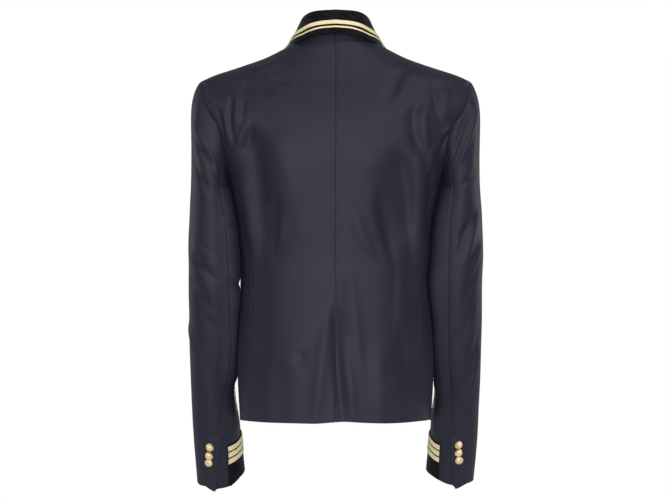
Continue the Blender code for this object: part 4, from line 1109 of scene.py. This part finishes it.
def lapelPoints(side):
    columns = np.unique(np.concatenate([shares(lapel["width"]), [lapel["notchShare"]]]))
    across, up = np.meshgrid(columns, shares(lapel["length"] * (1 - lapel["start"][side])))
    share = mix(lapel["start"][side], 1.0, up)
    height = mix(body["breakHeight"], body["gorgeHeight"], share) - lapel["drop"]
    rollX = rollLineX(height)
    # the way the roll line runs up
    alongX, alongZ = unit(np.array((rollLineX(body["gorgeHeight"]) - rollLineX(body["breakHeight"]),
                                    body["gorgeHeight"] - body["breakHeight"])))
    width = curveThrough(lapel["widths"], share)
    hidden = 0.0
    if side > 0:
        # the left lapel's start is hidden under the right front
        nearing = alongZ - alongX * alongX / alongZ
        hidden = np.clip((lapel["underClear"] - 2 * rollX) / nearing, 0, None)
        hidden = np.minimum(hidden, width - lapel["leastWidth"])
    reach = mix(hidden, width, across)
    toNotch = np.clip(across / lapel["notchShare"], 0, 1)
    toPeak = np.clip((across - lapel["notchShare"]) / (1 - lapel["notchShare"]), 0, 1)
    top = ease(share, lapel["topStart"], 1.0)
    topEdges = (mix(mix(start, notch, toNotch), peak, toPeak)
                for start, notch, peak in zip((rollX, height), lapel["notch"], lapel["peak"]))
    x, z = (mix(plain, topEdge, top) for plain, topEdge in
            zip((rollX + alongZ * reach, height - alongX * reach), topEdges))
    lift = body["wall"] + lapel["lift"] + lapel["roll"] * bump(reach, lapel["rollReach"])
    return onFront(side, x, z, lift)


for sideName, side in sides.items():
    flat = lapelPoints(side)
    normal = gridNormals(flat)
    normal *= np.sign(np.sum(-normal[..., 1]))
    points = flat + normal * edgeLift(flat, allTurned)[..., None]
    cutPiece(f"lapel_{sideName}", f"lapelPiece_{sideName}", points, normal)
print("lapels made")

# Cuffs

cuff = {
    # from the sleeve's edge; angles of the edge beside the vent, below and above, and of the end
    "patch": (0.6, 70), "start": {1: (-21, -27), -1: (-30, -35.5)}, "startHeight": 55, "end": -256,
    "patchWall": 0.8, "layerGap": 0.25, "edgeShare": 0.5,
    "stripes": ((37.3, 46.2), (48.4, 57.3), (59.5, 68.2)), "ribs": 3, "ribHeight": 0.6,
}


def onCuff(side, u, v, low, high, lift):
    # the edge beside the vent leans as it rises
    distance = mix(low, high, v)
    start = mix(*cuff["start"][side], np.clip(distance / cuff["startHeight"], 0, 1))
    return sleevePoint(side, mix(start, cuff["end"], u), cuffRing(distance), lift)


for sideName, side in sides.items():
    u, v = np.meshgrid(shares(braid["cuff"]["length"]), shares(cuff["patch"][1]))
    patchLift = cuff["layerGap"] + cuff["patchWall"]
    cutPiece(f"cuff_velvet_{sideName}", f"cuffVelvet_{sideName}",
             *formed(lambda u, v, lift: onCuff(side, u, v, *cuff["patch"], lift), u, v, allTurned,
                     patchLift, cuff["edgeShare"]), "black_velvet", cuff["patchWall"])
    for number, stripe in enumerate(cuff["stripes"], start=1):
        u, v = braidGrid("cuff", cuff["ribs"])
        lift = patchLift + cuff["layerGap"] + braid["cuff"]["height"]
        lift = lift + ribbed(v, cuff["ribs"], cuff["ribHeight"])
        piece = sheetPiece(f"cuffBraid_{sideName}_{number}", *onCuff(side, u, v, *stripe, lift),
                           braid["cuff"]["wall"], "gold_braid", f"cuff_braid_{sideName}_{number}")
        goesWith[f"cuff_velvet_{sideName}"].append(piece)
print("cuffs made")

# Buttons

button = {
    "cuffRadius": 6.3, "frontRadius": 10.5, "cuffPlaces": {1: (48, 61, 76), -1: (52, 66, 80)},
    # angles from the sleeve's back, and lean of each button's face
    "cuffAngles": {1: (21.5, 18, 14.5), -1: (13.2, 9.6, 8)}, "lean": (0.0, 0.38, 0.38),
    "frontX": 41, "frontHeights": (-262, -352, -442), "clear": 1.2, "leanLift": 1.6,
    # of the radius; then the angle at which its edges stay sharp
    "rim": 0.14, "sides": 40, "sharp": 50,
    # steps from the rim to the crown: share of the radius to come in, share of it to rise
    "dome": ((0.05, 0.035), (0.05, -0.03), (0.02, 0.03), (0.1, 0.12), (0.13, 0.115), (0.14, 0.085),
             (0.15, 0.06), (0.14, 0.035), (0.12, 0.012)),
}


def domedButton(name, radius, place, outward, partner, node):
    # a stamped dome inside a raised rim, modelled flat at the origin and then set in place
    bpy.ops.object.select_all(action="DESELECT")
    size = radius * mm
    depth = size * button["rim"]
    bpy.ops.mesh.primitive_cylinder_add(vertices=button["sides"], radius=size, depth=depth,
                                        location=(0, 0, depth / 2))
    piece = bpy.context.object
    piece.name = name
    mesh = piece.data
    bpy.ops.object.mode_set(mode="EDIT")
    bpy.ops.mesh.select_all(action="DESELECT")
    bpy.ops.object.mode_set(mode="OBJECT")
    for face in mesh.polygons:
        face.select = face.normal.z > 0.9
    bpy.ops.object.mode_set(mode="EDIT")
    for comeIn, rise in button["dome"]:
        bpy.ops.mesh.inset(thickness=comeIn * size)
        bpy.ops.transform.translate(value=(0, 0, rise * size))
    bpy.ops.object.mode_set(mode="OBJECT")
    bpy.ops.object.transform_apply(location=True, rotation=True, scale=True)
    mesh.shade_smooth()
    bpy.ops.object.shade_smooth_by_angle(angle=math.radians(button["sharp"]))
    facing = Vector(outward).to_track_quat("Z", "Y").to_matrix().to_4x4()
    mesh.transform(Matrix.Translation(Vector(place) * mm) @ facing)
    goesWith[partner].append(dress(piece, "gold_button", node))


for sideName, side in sides.items():
    details = zip(button["cuffPlaces"][side], button["cuffAngles"][side], button["lean"])
    for number, (distance, angle, lean) in enumerate(details, start=1):
        place, normal = sleevePoint(side, np.array(angle), np.array(cuffRing(distance)),
                                    button["clear"] + lean * button["leanLift"])
        domedButton(f"cuffButton_{sideName}_{number}", button["cuffRadius"], place,
                    normal + np.array((-side, 0, 1.0)) * lean,
                    f"sleeve_top_{sideName}", f"cuff_button_{sideName}_{number}")
    for number, height in enumerate(button["frontHeights"], start=1):
        x, level = np.array(side * button["frontX"], float), np.array(height, float)
        domedButton(f"frontButton_{sideName}_{number}", button["frontRadius"],
                    onFront(-1, -x, level, np.array(button["clear"])),
                    bodyNormal("front", ringAngle("front", x, level), level),
                    "front_right", f"front_button_{sideName}_{number}")
print("buttons made")
# Floor, light and camera

stage = {"floorHeight": -0.86, "floorRadius": 1.7, "floorFade": 0.35, "floorColour": "f4f4f4",
         "roomLight": 0.3, "cameraDistance": 4.5, "cameraHeight": -0.313, "frameWidth": 1.0385,
         "shiftPixels": -0.5, "imageWidth": 670, "sensor": 36}


def makeStage():
    bpy.ops.object.select_all(action="DESELECT")
    bpy.ops.mesh.primitive_circle_add(vertices=96, radius=stage["floorRadius"], fill_type="NGON",
                                      location=(0, 0, stage["floorHeight"]))
    floor = bpy.context.object
    floor.name = "studioFloor"
    material, tree, main, place = newMaterial("paleStudioFloor", "Object", Roughness=0.9,
                                              Base_Color=linear(stage["floorColour"]))
    # the paper's edge fades into the white room
    distance = addNode(tree, "ShaderNodeVectorMath", operation="LENGTH", links={0: place})
    fade = addNode(tree, "ShaderNodeMapRange", links={"Value": distance.outputs["Value"]},
                   inputs={"From Min": stage["floorFade"], "From Max": stage["floorRadius"] - 0.05})
    clear = addNode(tree, "ShaderNodeBsdfTransparent")
    both = addNode(tree, "ShaderNodeMixShader",
                   links={0: fade.outputs["Result"], 1: main.outputs["BSDF"],
                          2: clear.outputs["BSDF"]})
    tree.links.new(both.outputs["Shader"], tree.nodes["Material Output"].inputs["Surface"])
    floor.data.materials.append(material)
    # a white room, seen as it is, that lights the cloth less than the lamps do
    world = bpy.data.worlds.new("studioWorld")
    world.use_nodes = True
    tree = world.node_tree
    seen = addNode(tree, "ShaderNodeLightPath")
    strength = addNode(tree, "ShaderNodeMapRange", links={"Value": seen.outputs["Is Camera Ray"]},
                       inputs={"To Min": stage["roomLight"], "To Max": 1.0})
    room = tree.nodes["Background"]
    room.inputs["Color"].default_value = (1, 1, 1, 1)
    tree.links.new(strength.outputs["Result"], room.inputs["Strength"])
    bpy.context.scene.world = world


# Soft lamps: place, height they aim at, size, power
lamps = {
    "keyLight": ((0.1, 4.6, 0.2), -0.3, 1.1, 74),
    "highLight": ((-2.0, 2.8, 2.6), -0.2, 0.9, 54),
    "sideLight": ((3.0, 2.6, 0.6), -0.4, 0.9, 16),
    "lowLight": ((0.3, 3.8, -1.2), -0.7, 1.2, 19),
    "frontLight": ((0, -3.8, -0.5), -0.3, 0.6, 70),
    "leftRimLight": ((2.5, -1.9, -0.1), -0.4, 0.8, 7),
    "rightRimLight": ((-2.5, -1.9, -0.1), -0.4, 0.5, 9),
}


def softLight(name, place, aimHeight, size, power):
    light = bpy.data.lights.new(name, "AREA")
    light.shape, light.size, light.energy = "DISK", size, power
    lamp = bpy.data.objects.new(name, light)
    lamp.location = place
    toAim = Vector((0, 0, aimHeight)) - Vector(place)
    lamp.rotation_euler = toAim.to_track_quat("-Z", "Y").to_euler()
    bpy.context.scene.collection.objects.link(lamp)


def makeCamera():
    lens = bpy.data.cameras.new("studioCamera")
    lens.sensor_width = stage["sensor"]
    lens.lens = stage["sensor"] * stage["cameraDistance"] / stage["frameWidth"]
    lens.shift_x = stage["shiftPixels"] / stage["imageWidth"]
    camera = bpy.data.objects.new("studioCamera", lens)
    camera.location = (0, stage["cameraDistance"], stage["cameraHeight"])
    camera.rotation_euler = (math.radians(90), 0, math.radians(180))
    bpy.context.scene.collection.objects.link(camera)
    bpy.context.scene.camera = camera


makeStage()
for name, lamp in lamps.items():
    softLight(name, *lamp)
makeCamera()
bpy.context.scene.view_settings.view_transform = "Standard"
print("stage set")
